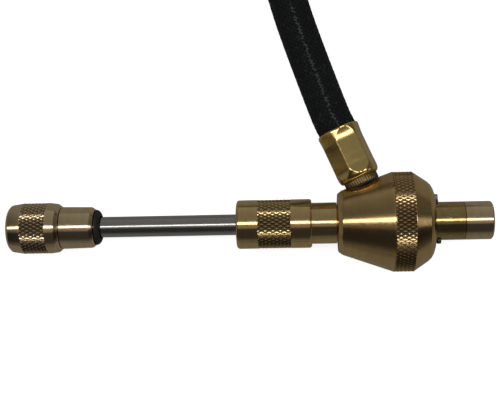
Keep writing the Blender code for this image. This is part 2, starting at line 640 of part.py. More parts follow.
def make_port(port):
    washer = sleeve(PORT_WASHER_T, PORT_WASHER_T + WASHER_LENGTH, NIPPLE_RADIUS + GAP, NIPPLE_FLANGE_RADIUS)
    turned("port_seal_washer", washer, "rubber", port, FINE)
    flange_end = FLANGE_T + NIPPLE_FLANGE_LENGTH
    outer = barbs(flange_end)
    nipple = [
        (NIPPLE_T, NIPPLE_BORE_RADIUS),
        (NIPPLE_T, NIPPLE_RADIUS),
        (FLANGE_T, NIPPLE_RADIUS),
        (FLANGE_T, NIPPLE_FLANGE_RADIUS),
        (flange_end, NIPPLE_FLANGE_RADIUS),
        *outer,
        (outer[-1][0], NIPPLE_BORE_RADIUS),
    ]
    turned("hose_nipple", nipple, "brass", port, FINE)
    make_crimp("torch", port, FERRULE_T)


def smooth_route(points, step):
    """Points every step along a Catmull-Rom curve through the given ones."""
    ends = [2 * points[0] - points[1], *points, 2 * points[-1] - points[-2]]
    fine = []
    for a, b, c, d in zip(ends, ends[1:], ends[2:], ends[3:]):
        for k in range(ROUTE_SAMPLES):
            t = k / ROUTE_SAMPLES
            bend = 2 * a - 5 * b + 4 * c - d
            twist = 3 * b - a - 3 * c + d
            fine.append((2 * b + (c - a) * t + bend * t**2 + twist * t**3) / 2)
    fine.append(points[-1])
    travelled = np.cumsum([0.0] + [(b - a).length for a, b in zip(fine, fine[1:])])
    count = max(2, round(travelled[-1] / step))
    at = np.linspace(0.0, travelled[-1], count + 1)
    axes = [np.interp(at, travelled, [p[axis] for p in fine]) for axis in range(3)]
    return [Vector(p) for p in zip(*axes)]


def make_hose(port):
    """The free hose: a tube from the ferrule to the coil, the coil's outer shape, and the fitting."""
    exit_point = port.matrix_world @ Vector((HOSE_EXIT_T, 0.0, 0.0))
    outwards = (port.matrix_world.to_3x3() @ Vector((1.0, 0.0, 0.0))).normalized()
    centre = Vector((exit_point.x + COIL_CENTRE[0], exit_point.y + COIL_CENTRE[1], 0.0))
    outer_edge = OUTER_TURN_RADIUS + HOSE_RADIUS
    entry = Vector((math.cos(COIL_ENTRY), math.sin(COIL_ENTRY), 0.0))
    bend, clear = LEAD_BEND_RADIUS, outer_edge + HOSE_RADIUS + 2 * GAP
    apart = OUTER_TURN_RADIUS + bend
    before = math.acos((apart**2 + bend**2 - clear**2) / (2 * apart * bend))
    towards_coil = COIL_ENTRY + math.pi - before
    last = centre + entry * apart
    last += Vector((math.cos(towards_coil), math.sin(towards_coil), 0.0)) * bend
    last.z = ON_TABLE
    chosen = [Vector((exit_point.x + x, exit_point.y + y, ON_TABLE + z)) for x, y, z in LEAD_ROUTE]
    route = smooth_route([exit_point, exit_point + outwards * LEAD_STEP / 2, *chosen, last], LEAD_STEP)

    curve = bpy.data.curves.new("gas_hose", "CURVE")
    curve.dimensions = "3D"
    curve.bevel_depth = HOSE_RADIUS
    curve.bevel_resolution = 3
    curve.use_fill_caps = True
    spline = curve.splines.new("POLY")
    spline.points.add(len(route) - 1)
    for point, place in zip(spline.points, route):
        point.co = (*place, 1.0)
    add_object("gas_hose", curve, None, "braid")

    upright = add_object("coil_axis", None)
    upright.location = centre
    upright.rotation_euler = (0.0, -math.pi / 2, 0.0)
    inner_edge = INNER_TURN_RADIUS - HOSE_RADIUS
    step_out = INNER_TURN_RADIUS + HOSE_RADIUS
    coil = [
        (HOSE_LIFT, inner_edge),
        (HOSE_LIFT, outer_edge),
        (HOSE_LIFT + LAYER, outer_edge),
        (HOSE_LIFT + LAYER, step_out),
        (HOSE_LIFT + 2 * LAYER, step_out),
        (HOSE_LIFT + 2 * LAYER, inner_edge),
    ]
    turned("gas_hose_coil", coil, "braid", upright, ROUND)

    place = Vector((math.cos(FITTING_ANGLE), math.sin(FITTING_ANGLE), 0.0))
    forwards = Vector((place.y, -place.x, 0.0))
    length = FERRULE_LENGTH + GAP + STEM_HEX_LENGTH + STEM_THREAD_LENGTH
    middle = centre + place * (step_out + GAP + STEM_HEX_RADIUS)
    middle.z = HOSE_LIFT + LAYER + GAP + STEM_HEX_RADIUS
    supply = add_object("supply_axis", None)
    supply.location = middle + forwards * length / 2
    supply.rotation_mode = "QUATERNION"
    supply.rotation_quaternion = (-forwards).to_track_quat("X", "Z")
    base = STEM_THREAD_LENGTH + STEM_HEX_LENGTH
    make_crimp("supply", supply, base + GAP)
    outer = barbs(base)
    stem = [
        (0.0, NIPPLE_BORE_RADIUS),
        (0.0, STEM_THREAD_RADIUS - EDGE),
        (EDGE, STEM_THREAD_RADIUS),
        (STEM_THREAD_LENGTH, STEM_THREAD_RADIUS),
        (STEM_THREAD_LENGTH, STEM_HEX_RADIUS),
        (base, STEM_HEX_RADIUS),
        *outer,
        (outer[-1][0], NIPPLE_BORE_RADIUS),
    ]
    turned("supply_stem", stem, "brass", supply, FINE)


def rest_on_origin(torch):
    """Moves the torch so that the origin is below the middle of its box, at its lowest point."""
    bpy.context.view_layer.update()
    graph = bpy.context.evaluated_depsgraph_get()
    corners = []
    for thing in bpy.data.objects:
        if thing.type == "MESH" and not thing.hide_render:
            shown = thing.evaluated_get(graph)
            matrix = np.array(shown.matrix_world)
            points = np.array([v.co for v in shown.data.vertices])
            corners.append(points @ matrix[:3, :3].T + matrix[:3, 3])
    points = np.concatenate(corners)
    low, high = points.min(axis=0), points.max(axis=0)
    torch.location -= Vector(((low[0] + high[0]) / 2, (low[1] + high[1]) / 2, low[2]))
    bpy.context.view_layer.update()


def clear_scene():
    for thing in list(bpy.data.objects):
        bpy.data.objects.remove(thing, do_unlink=True)


def main():
    clear_scene()
    torch, port = make_frames()
    make_body(torch, port)
    make_regulator_cap(torch)
    make_clip(torch)
    make_barrel(torch)
    make_collar(torch)
    make_lance(torch)
    make_nozzle(torch)
    make_rear_tube(torch)
    make_port(port)
    rest_on_origin(torch)
    make_hose(port)


main()
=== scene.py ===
"""Looks of a small brass hand torch for lampwork, lying on a pale table with its hose.

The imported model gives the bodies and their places. The pieces that show are made again here with
fine turned meshes, cut knurling, a crimped ferrule and a braided hose. Each piece of the torch is
made in the torch's own frame, X along its axis from the middle of the knurled belt.
"""

import json
import logging
import math
from dataclasses import dataclass, field
from enum import Enum

import bmesh
import bpy
import numpy as np
from mathutils import Matrix, Vector


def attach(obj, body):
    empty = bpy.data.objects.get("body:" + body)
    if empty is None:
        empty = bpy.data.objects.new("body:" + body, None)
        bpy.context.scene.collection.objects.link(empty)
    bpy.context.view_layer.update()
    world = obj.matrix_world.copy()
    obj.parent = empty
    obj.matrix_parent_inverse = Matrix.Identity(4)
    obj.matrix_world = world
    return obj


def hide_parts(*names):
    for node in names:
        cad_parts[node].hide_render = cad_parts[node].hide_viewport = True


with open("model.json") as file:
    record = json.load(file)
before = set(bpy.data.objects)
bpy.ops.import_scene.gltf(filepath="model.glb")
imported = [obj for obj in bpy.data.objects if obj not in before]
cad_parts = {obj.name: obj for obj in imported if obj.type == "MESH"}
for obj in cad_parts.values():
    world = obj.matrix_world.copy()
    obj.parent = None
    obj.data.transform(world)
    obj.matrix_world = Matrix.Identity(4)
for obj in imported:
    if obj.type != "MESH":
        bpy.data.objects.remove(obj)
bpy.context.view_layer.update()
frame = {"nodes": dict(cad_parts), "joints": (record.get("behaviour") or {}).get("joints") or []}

LOG = logging.getLogger("torch")
MM = 0.001
Colour = tuple[float, float, float]
Point = tuple[float, float]
Place = tuple[float, float, float]
Outline = list[tuple[float, ...]]

KNURL_END = 0.02 * MM
SMOOTH_BELOW = 28.0
OVER_UNTIL = 1.5
UNDER_HEIGHT = 0.55
SIXTH = math.pi / 3


class Slot(Enum):
    """The record's material slots."""

    BODY = "body_brass"
    COLLAR = "collar_brass"
    TIP = "tip_brass"
    TUBE = "tube_brass"
    PALE = "pale_brass"
    FERRULE = "ferrule_brass"
    NIPPLE = "nipple_brass"
    STEEL = "stainless"
    SPRING = "spring_steel"
    RUBBER = "black_rubber"
    PACKING = "packing"
    HOSE = "hose_braid"


# ---------------------------------------------------------------- node helpers


class Nodes:
    """A short way to write a node tree."""

    def __init__(self, tree: bpy.types.NodeTree) -> None:
        """Takes the tree that the nodes go in.

        Args:
            tree: A material's, world's or group's node tree.
        """
        self.tree = tree

    def add(self, kind: str, **values: object) -> bpy.types.Node:
        """Adds a node.

        Args:
            kind: The node's type name without its ShaderNode prefix.
            values: The node's own settings.

        Returns:
            The new node.
        """
        node = self.tree.nodes.new("ShaderNode" + kind)
        for key, value in values.items():
            setattr(node, key, value)
        return node

    def put(self, socket: bpy.types.NodeSocket, value: object) -> None:
        """Links or sets an input socket.

        Args:
            socket: The input.
            value: An output socket, or a plain value for the socket.
        """
        if isinstance(value, bpy.types.NodeSocket):
            self.tree.links.new(value, socket)
        else:
            socket.default_value = value

    def math(self, operation: str, *values: object) -> bpy.types.NodeSocket:
        """Adds a Math node.

        Args:
            operation: Blender's name of the operation.
            values: Its inputs in order, sockets or numbers.

        Returns:
            The node's output.
        """
        node = self.add("Math", operation=operation)
        for socket, value in zip(node.inputs, values):
            self.put(socket, value)
        return node.outputs[0]

    def mix(self, share: object, first: object, second: object, how: str = "MIX") -> bpy.types.NodeSocket:
        """Mixes two colours.

        Args:
            share: How much of the second colour, a socket or a number.
            first: The first colour, a socket or three numbers.
            second: The second colour, a socket or three numbers.
            how: The blend type.

        Returns:
            The mixed colour.
        """
        node = self.add("Mix", data_type="RGBA", blend_type=how, clamp_factor=True)
        self.put(node.inputs["Factor"], share)
        for socket, value in zip((node.inputs[6], node.inputs[7]), (first, second)):
            self.put(socket, (*value, 1.0) if isinstance(value, tuple) else value)
        return node.outputs[2]

    def ramp(self, value: object, low: float, high: float) -> bpy.types.NodeSocket:
        """Maps a range to 0 to 1.

        Args:
            value: The socket that is mapped.
            low: What becomes 0.
            high: What becomes 1.

        Returns:
            The mapped value, smooth at both ends.
        """
        node = self.add("MapRange", interpolation_type="SMOOTHSTEP")
        self.put(node.inputs["Value"], value)
        self.put(node.inputs["From Min"], low)
        self.put(node.inputs["From Max"], high)
        return node.outputs[0]

    def noise(self, vector: object, scale: float, detail: float, rough: float = 0.5) -> bpy.types.NodeSocket:
        """Adds a Noise texture.

        Args:
            vector: Where it is read.
            scale: How fine it is.
            detail: Its number of octaves.
            rough: How strong the finer octaves are.

        Returns:
            The noise, about 0.5 on average.
        """
        node = self.add("TexNoise")
        self.put(node.inputs["Vector"], vector)
        self.put(node.inputs["Scale"], scale)
        self.put(node.inputs["Detail"], detail)
        self.put(node.inputs["Roughness"], rough)
        return node.outputs["Fac"]

    def scaled(self, vector: object, factors: Place) -> bpy.types.NodeSocket:
        """Multiplies a vector by three numbers.

        Args:
            vector: The vector socket.
            factors: One number for each axis.

        Returns:
            The product.
        """
        node = self.add("VectorMath", operation="MULTIPLY")
        self.put(node.inputs[0], vector)
        self.put(node.inputs[1], factors)
        return node.outputs[0]


def new_group(
    name: str, inputs: dict[str, str], outputs: dict[str, str]
) -> tuple[bpy.types.NodeTree, Nodes, dict, dict]:
    """Starts a shader node group.

    Args:
        name: The group's name.
        inputs: Socket types by input name.
        outputs: Socket types by output name.

    Returns:
        The tree, its Nodes, the input sockets by name and the output sockets by name.
    """
    tree = bpy.data.node_groups.new(name, "ShaderNodeTree")
    for direction, sockets in (("INPUT", inputs), ("OUTPUT", outputs)):
        for label, kind in sockets.items():
            tree.interface.new_socket(label, in_out=direction, socket_type="NodeSocket" + kind)
    nodes = Nodes(tree)
    start = tree.nodes.new("NodeGroupInput")
    end = tree.nodes.new("NodeGroupOutput")
    taken = {label: start.outputs[label] for label in inputs}
    given = {label: end.inputs[label] for label in outputs}
    return tree, nodes, taken, given


def lathe_marks() -> bpy.types.NodeTree:
    """Builds the group for the fine rings that a turning tool leaves.

    Returns:
        The group: Place in, Spacing in; Height and Shade out, from 0 to 1.
    """
    drift_scale, drift, detail, roughness, broad_by = 60.0, 0.0004, 4.0, 0.7, 7.0
    tree, nodes, taken, given = new_group(
        "lathe_marks", {"Place": "Vector", "Spacing": "Float"}, {"Height": "Float", "Shade": "Float"}
    )
    parts = nodes.add("SeparateXYZ")
    nodes.put(parts.inputs[0], taken["Place"])
    wander = nodes.noise(taken["Place"], drift_scale, 1.0)
    along = nodes.math("MULTIPLY_ADD", wander, drift, parts.outputs["X"])
    turns = nodes.math("DIVIDE", along, taken["Spacing"])
    rings = nodes.add("TexNoise", noise_dimensions="1D")
    nodes.put(rings.inputs["W"], turns)
    nodes.put(rings.inputs["Scale"], 1.0)
    nodes.put(rings.inputs["Detail"], detail)
    nodes.put(rings.inputs["Roughness"], roughness)
    nodes.put(given["Height"], rings.outputs["Fac"])
    broad = nodes.math("DIVIDE", turns, broad_by)
    bands = nodes.add("TexNoise", noise_dimensions="1D")
    nodes.put(bands.inputs["W"], broad)
    nodes.put(bands.inputs["Scale"], 1.0)
    nodes.put(given["Shade"], nodes.ramp(bands.outputs["Fac"], 0.3, 0.7))
    return tree


def tarnish() -> bpy.types.NodeTree:
    """Builds the group for handling marks: soft patches and small spots.

    Returns:
        The group: Place in; Patches and Spots out, from 0 to 1.
    """
    patch_scale, patch_detail, patch_roughness, bare_cells = 170.0, 5.0, 0.65, 0.72
    tree, nodes, taken, given = new_group(
        "tarnish", {"Place": "Vector", "Spot Size": "Float"}, {"Patches": "Float", "Spots": "Float"}
    )
    clouds = nodes.noise(taken["Place"], patch_scale, patch_detail, patch_roughness)
    nodes.put(given["Patches"], nodes.ramp(clouds, 0.38, 0.66))
    cells = nodes.add("TexVoronoi")
    nodes.put(cells.inputs["Vector"], taken["Place"])
    nodes.put(cells.inputs["Scale"], nodes.math("DIVIDE", 1.0, taken["Spot Size"]))
    near = nodes.ramp(cells.outputs["Distance"], 0.30, 0.12)
    pick = nodes.add("SeparateColor")
    nodes.put(pick.inputs[0], cells.outputs["Color"])
    chosen = nodes.math("GREATER_THAN", pick.outputs["Red"], bare_cells)
    nodes.put(given["Spots"], nodes.math("MULTIPLY", near, chosen))
    return tree


def scratches() -> bpy.types.NodeTree:
    """Builds the group for thin slanting scratches.

    Returns:
        The group: Place and Slant in; Lines out, 1 on a scratch and 0 elsewhere.
    """
    fineness, patch_scale = (170.0, 2400.0, 2400.0), 330.0
    tree, nodes, taken, given = new_group(
        "scratches", {"Place": "Vector", "Slant": "Float"}, {"Lines": "Float"}
    )
    turned = nodes.add("VectorRotate", rotation_type="Z_AXIS")
    nodes.put(turned.inputs["Vector"], taken["Place"])
    nodes.put(turned.inputs["Angle"], taken["Slant"])
    stretched = nodes.scaled(turned.outputs[0], fineness)
    fine = nodes.noise(stretched, 1.0, 0.0)
    line = nodes.ramp(nodes.math("ABSOLUTE", nodes.math("SUBTRACT", fine, 0.5)), 0.045, 0.015)
    where = nodes.ramp(nodes.noise(taken["Place"], patch_scale, 1.0), 0.48, 0.60)
    nodes.put(given["Lines"], nodes.math("MULTIPLY", line, where))
    return tree


def braid_weave() -> bpy.types.NodeTree:
    """Builds the group for two crossing sets of yarn bundles, two over and two under.

    Returns:
        The group: Place in, as bundles around and along; Height, Gap and Yarn out, from 0 to 1.
    """
    yarns, period, always_positive = 5.0, 4.0, 4000.0
    tree, nodes, taken, given = new_group(
        "braid_weave", {"Place": "Vector"}, {"Height": "Float", "Gap": "Float", "Yarn": "Float"}
    )
    parts = nodes.add("SeparateXYZ")
    nodes.put(parts.inputs[0], taken["Place"])
    right = nodes.math("ADD", parts.outputs["X"], parts.outputs["Y"])
    left = nodes.math("SUBTRACT", parts.outputs["X"], parts.outputs["Y"])
    rounds = []
    for side in (right, left):
        inside = nodes.math("FRACT", side)
        rounds.append(nodes.math("SINE", nodes.math("MULTIPLY", inside, math.pi)))
    step = nodes.math("SUBTRACT", nodes.math("FLOOR", right), nodes.math("FLOOR", left))
    turn = nodes.math("MODULO", nodes.math("ADD", step, always_positive), period)
    over = nodes.math("LESS_THAN", turn, OVER_UNTIL)
    under = nodes.math("SUBTRACT", 1.0, over)
    bundles = []
    for rounding, on_top in zip(rounds, (over, under)):
        lifted = nodes.math("MULTIPLY_ADD", on_top, 1.0 - UNDER_HEIGHT, UNDER_HEIGHT)
        bundles.append(nodes.math("MULTIPLY", rounding, lifted))
    height = nodes.math("MAXIMUM", *bundles)
    nodes.put(given["Height"], height)
    nodes.put(given["Gap"], nodes.ramp(height, 0.55, 0.2))
    along_first = nodes.math("MULTIPLY", nodes.math("FRACT", right), over)
    along_second = nodes.math("MULTIPLY", nodes.math("FRACT", left), under)
    strand = nodes.math("MULTIPLY", nodes.math("ADD", along_first, along_second), yarns)
    wave = nodes.math("SINE", nodes.math("MULTIPLY", strand, math.pi))
    nodes.put(given["Yarn"], nodes.math("ABSOLUTE", wave))
    return tree


class Groups:
    """The node groups that the finishes share, each built once."""

    def __init__(self) -> None:
        """Builds every group."""
        self.marks = lathe_marks()
        self.tarnish = tarnish()
        self.scratches = scratches()
        self.braid = braid_weave()

    @staticmethod
    def place(nodes: Nodes, tree: bpy.types.NodeTree, **values: object) -> bpy.types.Node:
        """Places a group in a material.

        Args:
            nodes: The material's Nodes.
            tree: The group.
            values: Its inputs by name, with _ for a space.

        Returns:
            The group node.
        """
        node = nodes.add("Group", node_tree=tree)
        for key, value in values.items():
            nodes.put(node.inputs[key.replace("_", " ")], value)
        return node


# ---------------------------------------------------------------- finishes


def start_material(name: str) -> tuple[bpy.types.Material, Nodes, bpy.types.Node]:
    """Starts a material with its Principled shader.

    Args:
        name: The material's name.

    Returns:
        The material, its Nodes and the shader.
    """
    material = bpy.data.materials.new(name)
    material.use_nodes = True
    return material, Nodes(material.node_tree), material.node_tree.nodes["Principled BSDF"]


@dataclass(frozen=True)
class TurnedMetal:
    """Metal with turning marks, its edges painted lighter (worn metal and painted highlight) and its hollows
    painted darker (painted shade).
    """

    name: str
    colour: Colour
    stain: Colour
    pit_and_shade: Colour
    roughness: float = 0.11
    spacing: float = 0.00022
    marks: float = 0.10
    stained: float = 0.18
    spotted: float = 0.25
    scratched: float = 0.0
    slant: float = 0.16
    scratch_glint: Colour = (1.0, 0.92, 0.62)

    SHADE = 1.6
    HOLLOW_SHADE = 0.95
    EDGE_WEAR_AND_SHEEN = 0.35
    WEAR_AND_SHEEN_GAIN = 1.25
    BUMP_DISTANCE = 0.00004

    def build(self, groups: Groups) -> bpy.types.Material:
        """Builds the material.

        Args:
            groups: The shared node groups.

        Returns:
            The material.
        """
        material, nodes, shader = start_material(self.name)
        place = nodes.add("TexCoord").outputs["Object"]
        marks = groups.place(nodes, groups.marks, Place=place, Spacing=self.spacing)
        worn = groups.place(nodes, groups.tarnish, Place=place, Spot_Size=0.0009)
        lines = groups.place(nodes, groups.scratches, Place=place, Slant=self.slant)
        relief = nodes.add("Attribute", attribute_name="hollow").outputs["Fac"]
        edge = nodes.add("Attribute", attribute_name="edge").outputs["Fac"]

        patches = nodes.math("MULTIPLY", worn.outputs["Patches"], self.stained)
        colour = nodes.mix(patches, self.colour, self.stain)
        shade = nodes.math("MULTIPLY", marks.outputs["Shade"], self.marks * self.SHADE)
        colour = nodes.mix(shade, colour, self.stain)
        spots = nodes.math("MULTIPLY", worn.outputs["Spots"], self.spotted)
        colour = nodes.mix(spots, colour, self.pit_and_shade)
        # The hollow value darkens the colour towards the pit colour: painted shade in knurl grooves, thread
        # roots and round the side port.
        hollow_shade = nodes.math("MULTIPLY", nodes.math("MULTIPLY", relief, relief), self.HOLLOW_SHADE)
        colour = nodes.mix(hollow_shade, colour, self.pit_and_shade)
        # The edge value lightens the colour: partly worn metal, partly a painted highlight on roundings,
        # knurl tips and ferrule ridges.
        wear_and_sheen = nodes.math("MULTIPLY", edge, self.EDGE_WEAR_AND_SHEEN)
        colour = nodes.mix(wear_and_sheen, colour, tuple(min(1.0, self.WEAR_AND_SHEEN_GAIN * c) for c in self.colour))
        scored = nodes.math("MULTIPLY", lines.outputs["Lines"], self.scratched)
        # The scratches are real; their colour, lighter than the brass, is a painted glint along them.
        colour = nodes.mix(scored, colour, self.scratch_glint)
        nodes.put(shader.inputs["Base Color"], colour)

        rough = nodes.math("MULTIPLY_ADD", worn.outputs["Patches"], 0.04, self.roughness)
        rough = nodes.math("MULTIPLY_ADD", marks.outputs["Shade"], 0.03, rough)
        rough = nodes.math("MULTIPLY_ADD", relief, 0.06, rough)
        rough = nodes.math("MULTIPLY_ADD", edge, -0.05, rough)
        nodes.put(shader.inputs["Roughness"], rough)

        height = nodes.math("MULTIPLY_ADD", scored, 1.2, marks.outputs["Height"])
        bump = nodes.add("Bump")
        bump.inputs["Strength"].default_value = self.marks
        bump.inputs["Distance"].default_value = self.BUMP_DISTANCE
        nodes.put(bump.inputs["Height"], height)
        nodes.put(shader.inputs["Normal"], bump.outputs["Normal"])
        shader.inputs["Metallic"].default_value = 1.0
        return material


@dataclass(frozen=True)
class Rubbery:
    """Black rubber or a pale moulded seal, dusty and slightly uneven."""

    name: str
    colour: Colour
    dust: Colour
    roughness: float = 0.55

    GRAIN = 2600.0
    DUSTED = 0.5

    def build(self, groups: Groups) -> bpy.types.Material:
        """Builds the material.

        Args:
            groups: The shared node groups.

        Returns:
            The material.
        """
        material, nodes, shader = start_material(self.name)
        place = nodes.add("TexCoord").outputs["Object"]
        worn = groups.place(nodes, groups.tarnish, Place=place, Spot_Size=0.0007)
        grain = nodes.noise(place, self.GRAIN, 4.0)
        colour = self.colour
        for mark in ("Patches", "Spots"):
            colour = nodes.mix(nodes.math("MULTIPLY", worn.outputs[mark], self.DUSTED), colour, self.dust)
        nodes.put(shader.inputs["Base Color"], colour)
        nodes.put(shader.inputs["Roughness"], nodes.math("MULTIPLY_ADD", grain, 0.15, self.roughness))
        bump = nodes.add("Bump")
        bump.inputs["Strength"].default_value = 0.4
        bump.inputs["Distance"].default_value = 0.0001
        nodes.put(bump.inputs["Height"], grain)
        nodes.put(shader.inputs["Normal"], bump.outputs["Normal"])
        return material


@dataclass(frozen=True)
class BraidedCover:
    """The hose's black textile braid."""

    name: str = "hose_braid_cover"
    yarn: Colour = (0.0028, 0.0042, 0.0045)
    light_yarn: Colour = (0.036, 0.045, 0.045)
    gap: Colour = (0.001, 0.001, 0.0012)
    tracer: Colour = (0.12, 0.135, 0.135)
    tracer_at: float = 18.0
    specular: float = 0.22

    LIT_ABOVE = 0.95
    ZIGZAGS = 1.5
    SWING = 0.5
    BROKEN_BELOW = 0.35
    ROUGHNESS = 0.52
    BUMP_DISTANCE = 0.0003

    def build(self, groups: Groups) -> bpy.types.Material:
        """Builds the material.

        Args:
            groups: The shared node groups.

        Returns:
            The material.
        """
        material, nodes, shader = start_material(self.name)
        place = nodes.add("UVMap", uv_map="braid").outputs["UV"]
        weave = groups.place(nodes, groups.braid, Place=place)
        cell = nodes.add("TexWhiteNoise", noise_dimensions="2D")
        floored = nodes.add("VectorMath", operation="FLOOR")
        nodes.put(floored.inputs[0], nodes.scaled(place, (2.0, 2.0, 1.0)))
        nodes.put(cell.inputs["Vector"], floored.outputs[0])
        lit = nodes.math("GREATER_THAN", cell.outputs["Value"], self.LIT_ABOVE)
        parts = nodes.add("SeparateXYZ")
        nodes.put(parts.inputs[0], place)
        swing = nodes.math("PINGPONG", nodes.math("MULTIPLY", parts.outputs["Y"], self.ZIGZAGS), self.SWING)
        stitch = nodes.math("ADD", swing, self.tracer_at - self.SWING / 2)
        beside = nodes.math("ABSOLUTE", nodes.math("SUBTRACT", parts.outputs["X"], stitch))
        showing = nodes.math("GREATER_THAN", cell.outputs["Value"], self.BROKEN_BELOW)
        tracer = nodes.math("MULTIPLY", nodes.ramp(beside, 0.26, 0.14), showing)
        # Each yarn is painted lighter along its middle and darker at its sides: a painted sheen.
        colour = nodes.mix(nodes.math("MULTIPLY", weave.outputs["Yarn"], 0.35), self.yarn, self.light_yarn)
        colour = nodes.mix(nodes.math("MULTIPLY", lit, 0.7), colour, self.light_yarn)
        # The gaps between bundles are painted near black: painted shade.
        colour = nodes.mix(weave.outputs["Gap"], colour, self.gap)
        colour = nodes.mix(nodes.math("MULTIPLY", tracer, 0.8), colour, self.tracer)
        nodes.put(shader.inputs["Base Color"], colour)
        rough = nodes.math("MULTIPLY_ADD", weave.outputs["Gap"], 0.3, self.ROUGHNESS)
        nodes.put(shader.inputs["Roughness"], rough)
        shader.inputs["Specular IOR Level"].default_value = self.specular
        height = nodes.math("MULTIPLY_ADD", weave.outputs["Yarn"], 0.18, weave.outputs["Height"])
        bump = nodes.add("Bump")
        bump.inputs["Strength"].default_value = 0.9
        bump.inputs["Distance"].default_value = self.BUMP_DISTANCE
        nodes.put(bump.inputs["Height"], height)
        nodes.put(shader.inputs["Normal"], bump.outputs["Normal"])
        return material


class Finishes:
    """Every finish of the torch, by slot."""

    def __init__(self) -> None:
        """Builds the materials."""
        groups = Groups()
        looks = {
            Slot.BODY: TurnedMetal(
                "cone_brass", (0.80, 0.56, 0.25), (0.42, 0.25, 0.10), (0.06, 0.045, 0.035), 0.145
            ),
            Slot.COLLAR: TurnedMetal(
                "collar_brass", (0.84, 0.63, 0.30), (0.50, 0.33, 0.14), (0.12, 0.07, 0.03)
            ),
            Slot.TIP: TurnedMetal("tip_brass", (0.70, 0.50, 0.24), (0.30, 0.18, 0.09), (0.06, 0.04, 0.03)),
            Slot.TUBE: TurnedMetal(
                "tube_brass", (0.56, 0.41, 0.165), (0.34, 0.23, 0.09), (0.10, 0.06, 0.03), scratched=0.4
            ),
            Slot.PALE: TurnedMetal("pale_brass", (0.88, 0.68, 0.42), (0.55, 0.42, 0.26), (0.20, 0.13, 0.07)),
            Slot.FERRULE: TurnedMetal(
                "ferrule_brass", (0.90, 0.66, 0.26), (0.56, 0.36, 0.12), (0.16, 0.09, 0.03), 0.14, marks=0.04
            ),
            Slot.NIPPLE: TurnedMetal(
                "nipple_brass", (0.34, 0.24, 0.11), (0.20, 0.14, 0.07), (0.05, 0.035, 0.02), 0.34
            ),
            Slot.STEEL: TurnedMetal(
                "lance_steel", (0.50, 0.49, 0.475), (0.36, 0.35, 0.34), (0.15, 0.15, 0.15), 0.15,
                stained=0.08, spotted=0.05,
            ),
            Slot.SPRING: TurnedMetal(
                "spring_steel", (0.24, 0.24, 0.235), (0.15, 0.15, 0.145), (0.06, 0.06, 0.06), 0.4
            ),
            Slot.RUBBER: Rubbery("black_rubber", (0.020, 0.020, 0.021), (0.060, 0.060, 0.060)),
            Slot.PACKING: Rubbery("packing_white", (0.62, 0.60, 0.55), (0.42, 0.38, 0.30)),
            Slot.HOSE: BraidedCover(),
        }
        self.materials = {slot: look.build(groups) for slot, look in looks.items()}

    def dress(self, piece: bpy.types.Object, slot: Slot) -> None:
        """Gives a piece its finish.

        Args:
            piece: The piece.
            slot: The record's slot that it takes its finish from.
        """
        piece.data.materials.clear()
        piece.data.materials.append(self.materials[slot])


# ---------------------------------------------------------------- turned meshes


@dataclass(frozen=True)
class Knurl:
    """A band of diamond knurling: rows of four-sided points cut into a turned face."""

    start: float
    rows: int
    around: int
    pitch: float = 0.0024
    depth: float = 0.00028

    STEPS = 6

    @property
    def step(self) -> float:
        """The distance between two rows of the mesh."""
        return self.pitch / self.STEPS

    def hollow(self, row: int, column: int) -> float:
        """Says how deep the band is cut at a corner of the mesh.

        Args:
            row: The corner's row, from the band's start.
            column: The corner's column around the axis.

        Returns:
            0 at a point's top to 1 at the bottom of a groove.
        """
        nearness = []
        for turn in ((row + column) / self.STEPS, (row - column) / self.STEPS):
            nearness.append(2 * abs(turn - round(turn)))
        return (1.0 - min(nearness)) ** 1.35


def smoothstep(value: float) -> float:
    """Eases a value that is first clipped to 0 to 1."""
    t = min(1.0, max(0.0, value))
    return t * t * (3 - 2 * t)


def quads(rings: int, sides: int, closed: bool) -> list[tuple[int, ...]]:
    """Joins rings of corners with four-sided faces.

    Args:
        rings: How many rings there are.
        sides: How many corners each has.
        closed: Whether the last ring joins the first.

    Returns:
        The faces as corner numbers.
    """
    faces = []
    for i in range(rings if closed else rings - 1):
        j = (i + 1) % rings
        for k in range(sides):
            n = (k + 1) % sides
            faces.append((i * sides + k, i * sides + n, j * sides + n, j * sides + k))
    return faces


def eased(points: list[Point], radius: float, steps: int = 3) -> Outline:
    """Rounds the corners of a closed outline.

    Args:
        points: Its corners as (x, radius from the axis).
        radius: How far from a corner the rounding starts.
        steps: How many straight pieces make one rounding.

    Returns:
        The rounded outline as (x, radius, edge), with edge 1 in the middle of a rounding.
    """
    result: Outline = []
    count = len(points)
    for i, point in enumerate(points):
        here = np.array(point)
        before, after = np.array(points[i - 1]), np.array(points[(i + 1) % count])
        back, ahead = before - here, after - here
        reach = min(radius, 0.4 * np.linalg.norm(back), 0.4 * np.linalg.norm(ahead))
        start = here + back / np.linalg.norm(back) * reach
        end = here + ahead / np.linalg.norm(ahead) * reach
        for k in range(steps + 1):
            t = k / steps
            place = (1 - t) ** 2 * start + 2 * t * (1 - t) * here + t**2 * end
            result.append((float(place[0]), float(place[1]), 4 * t * (1 - t)))
    return result


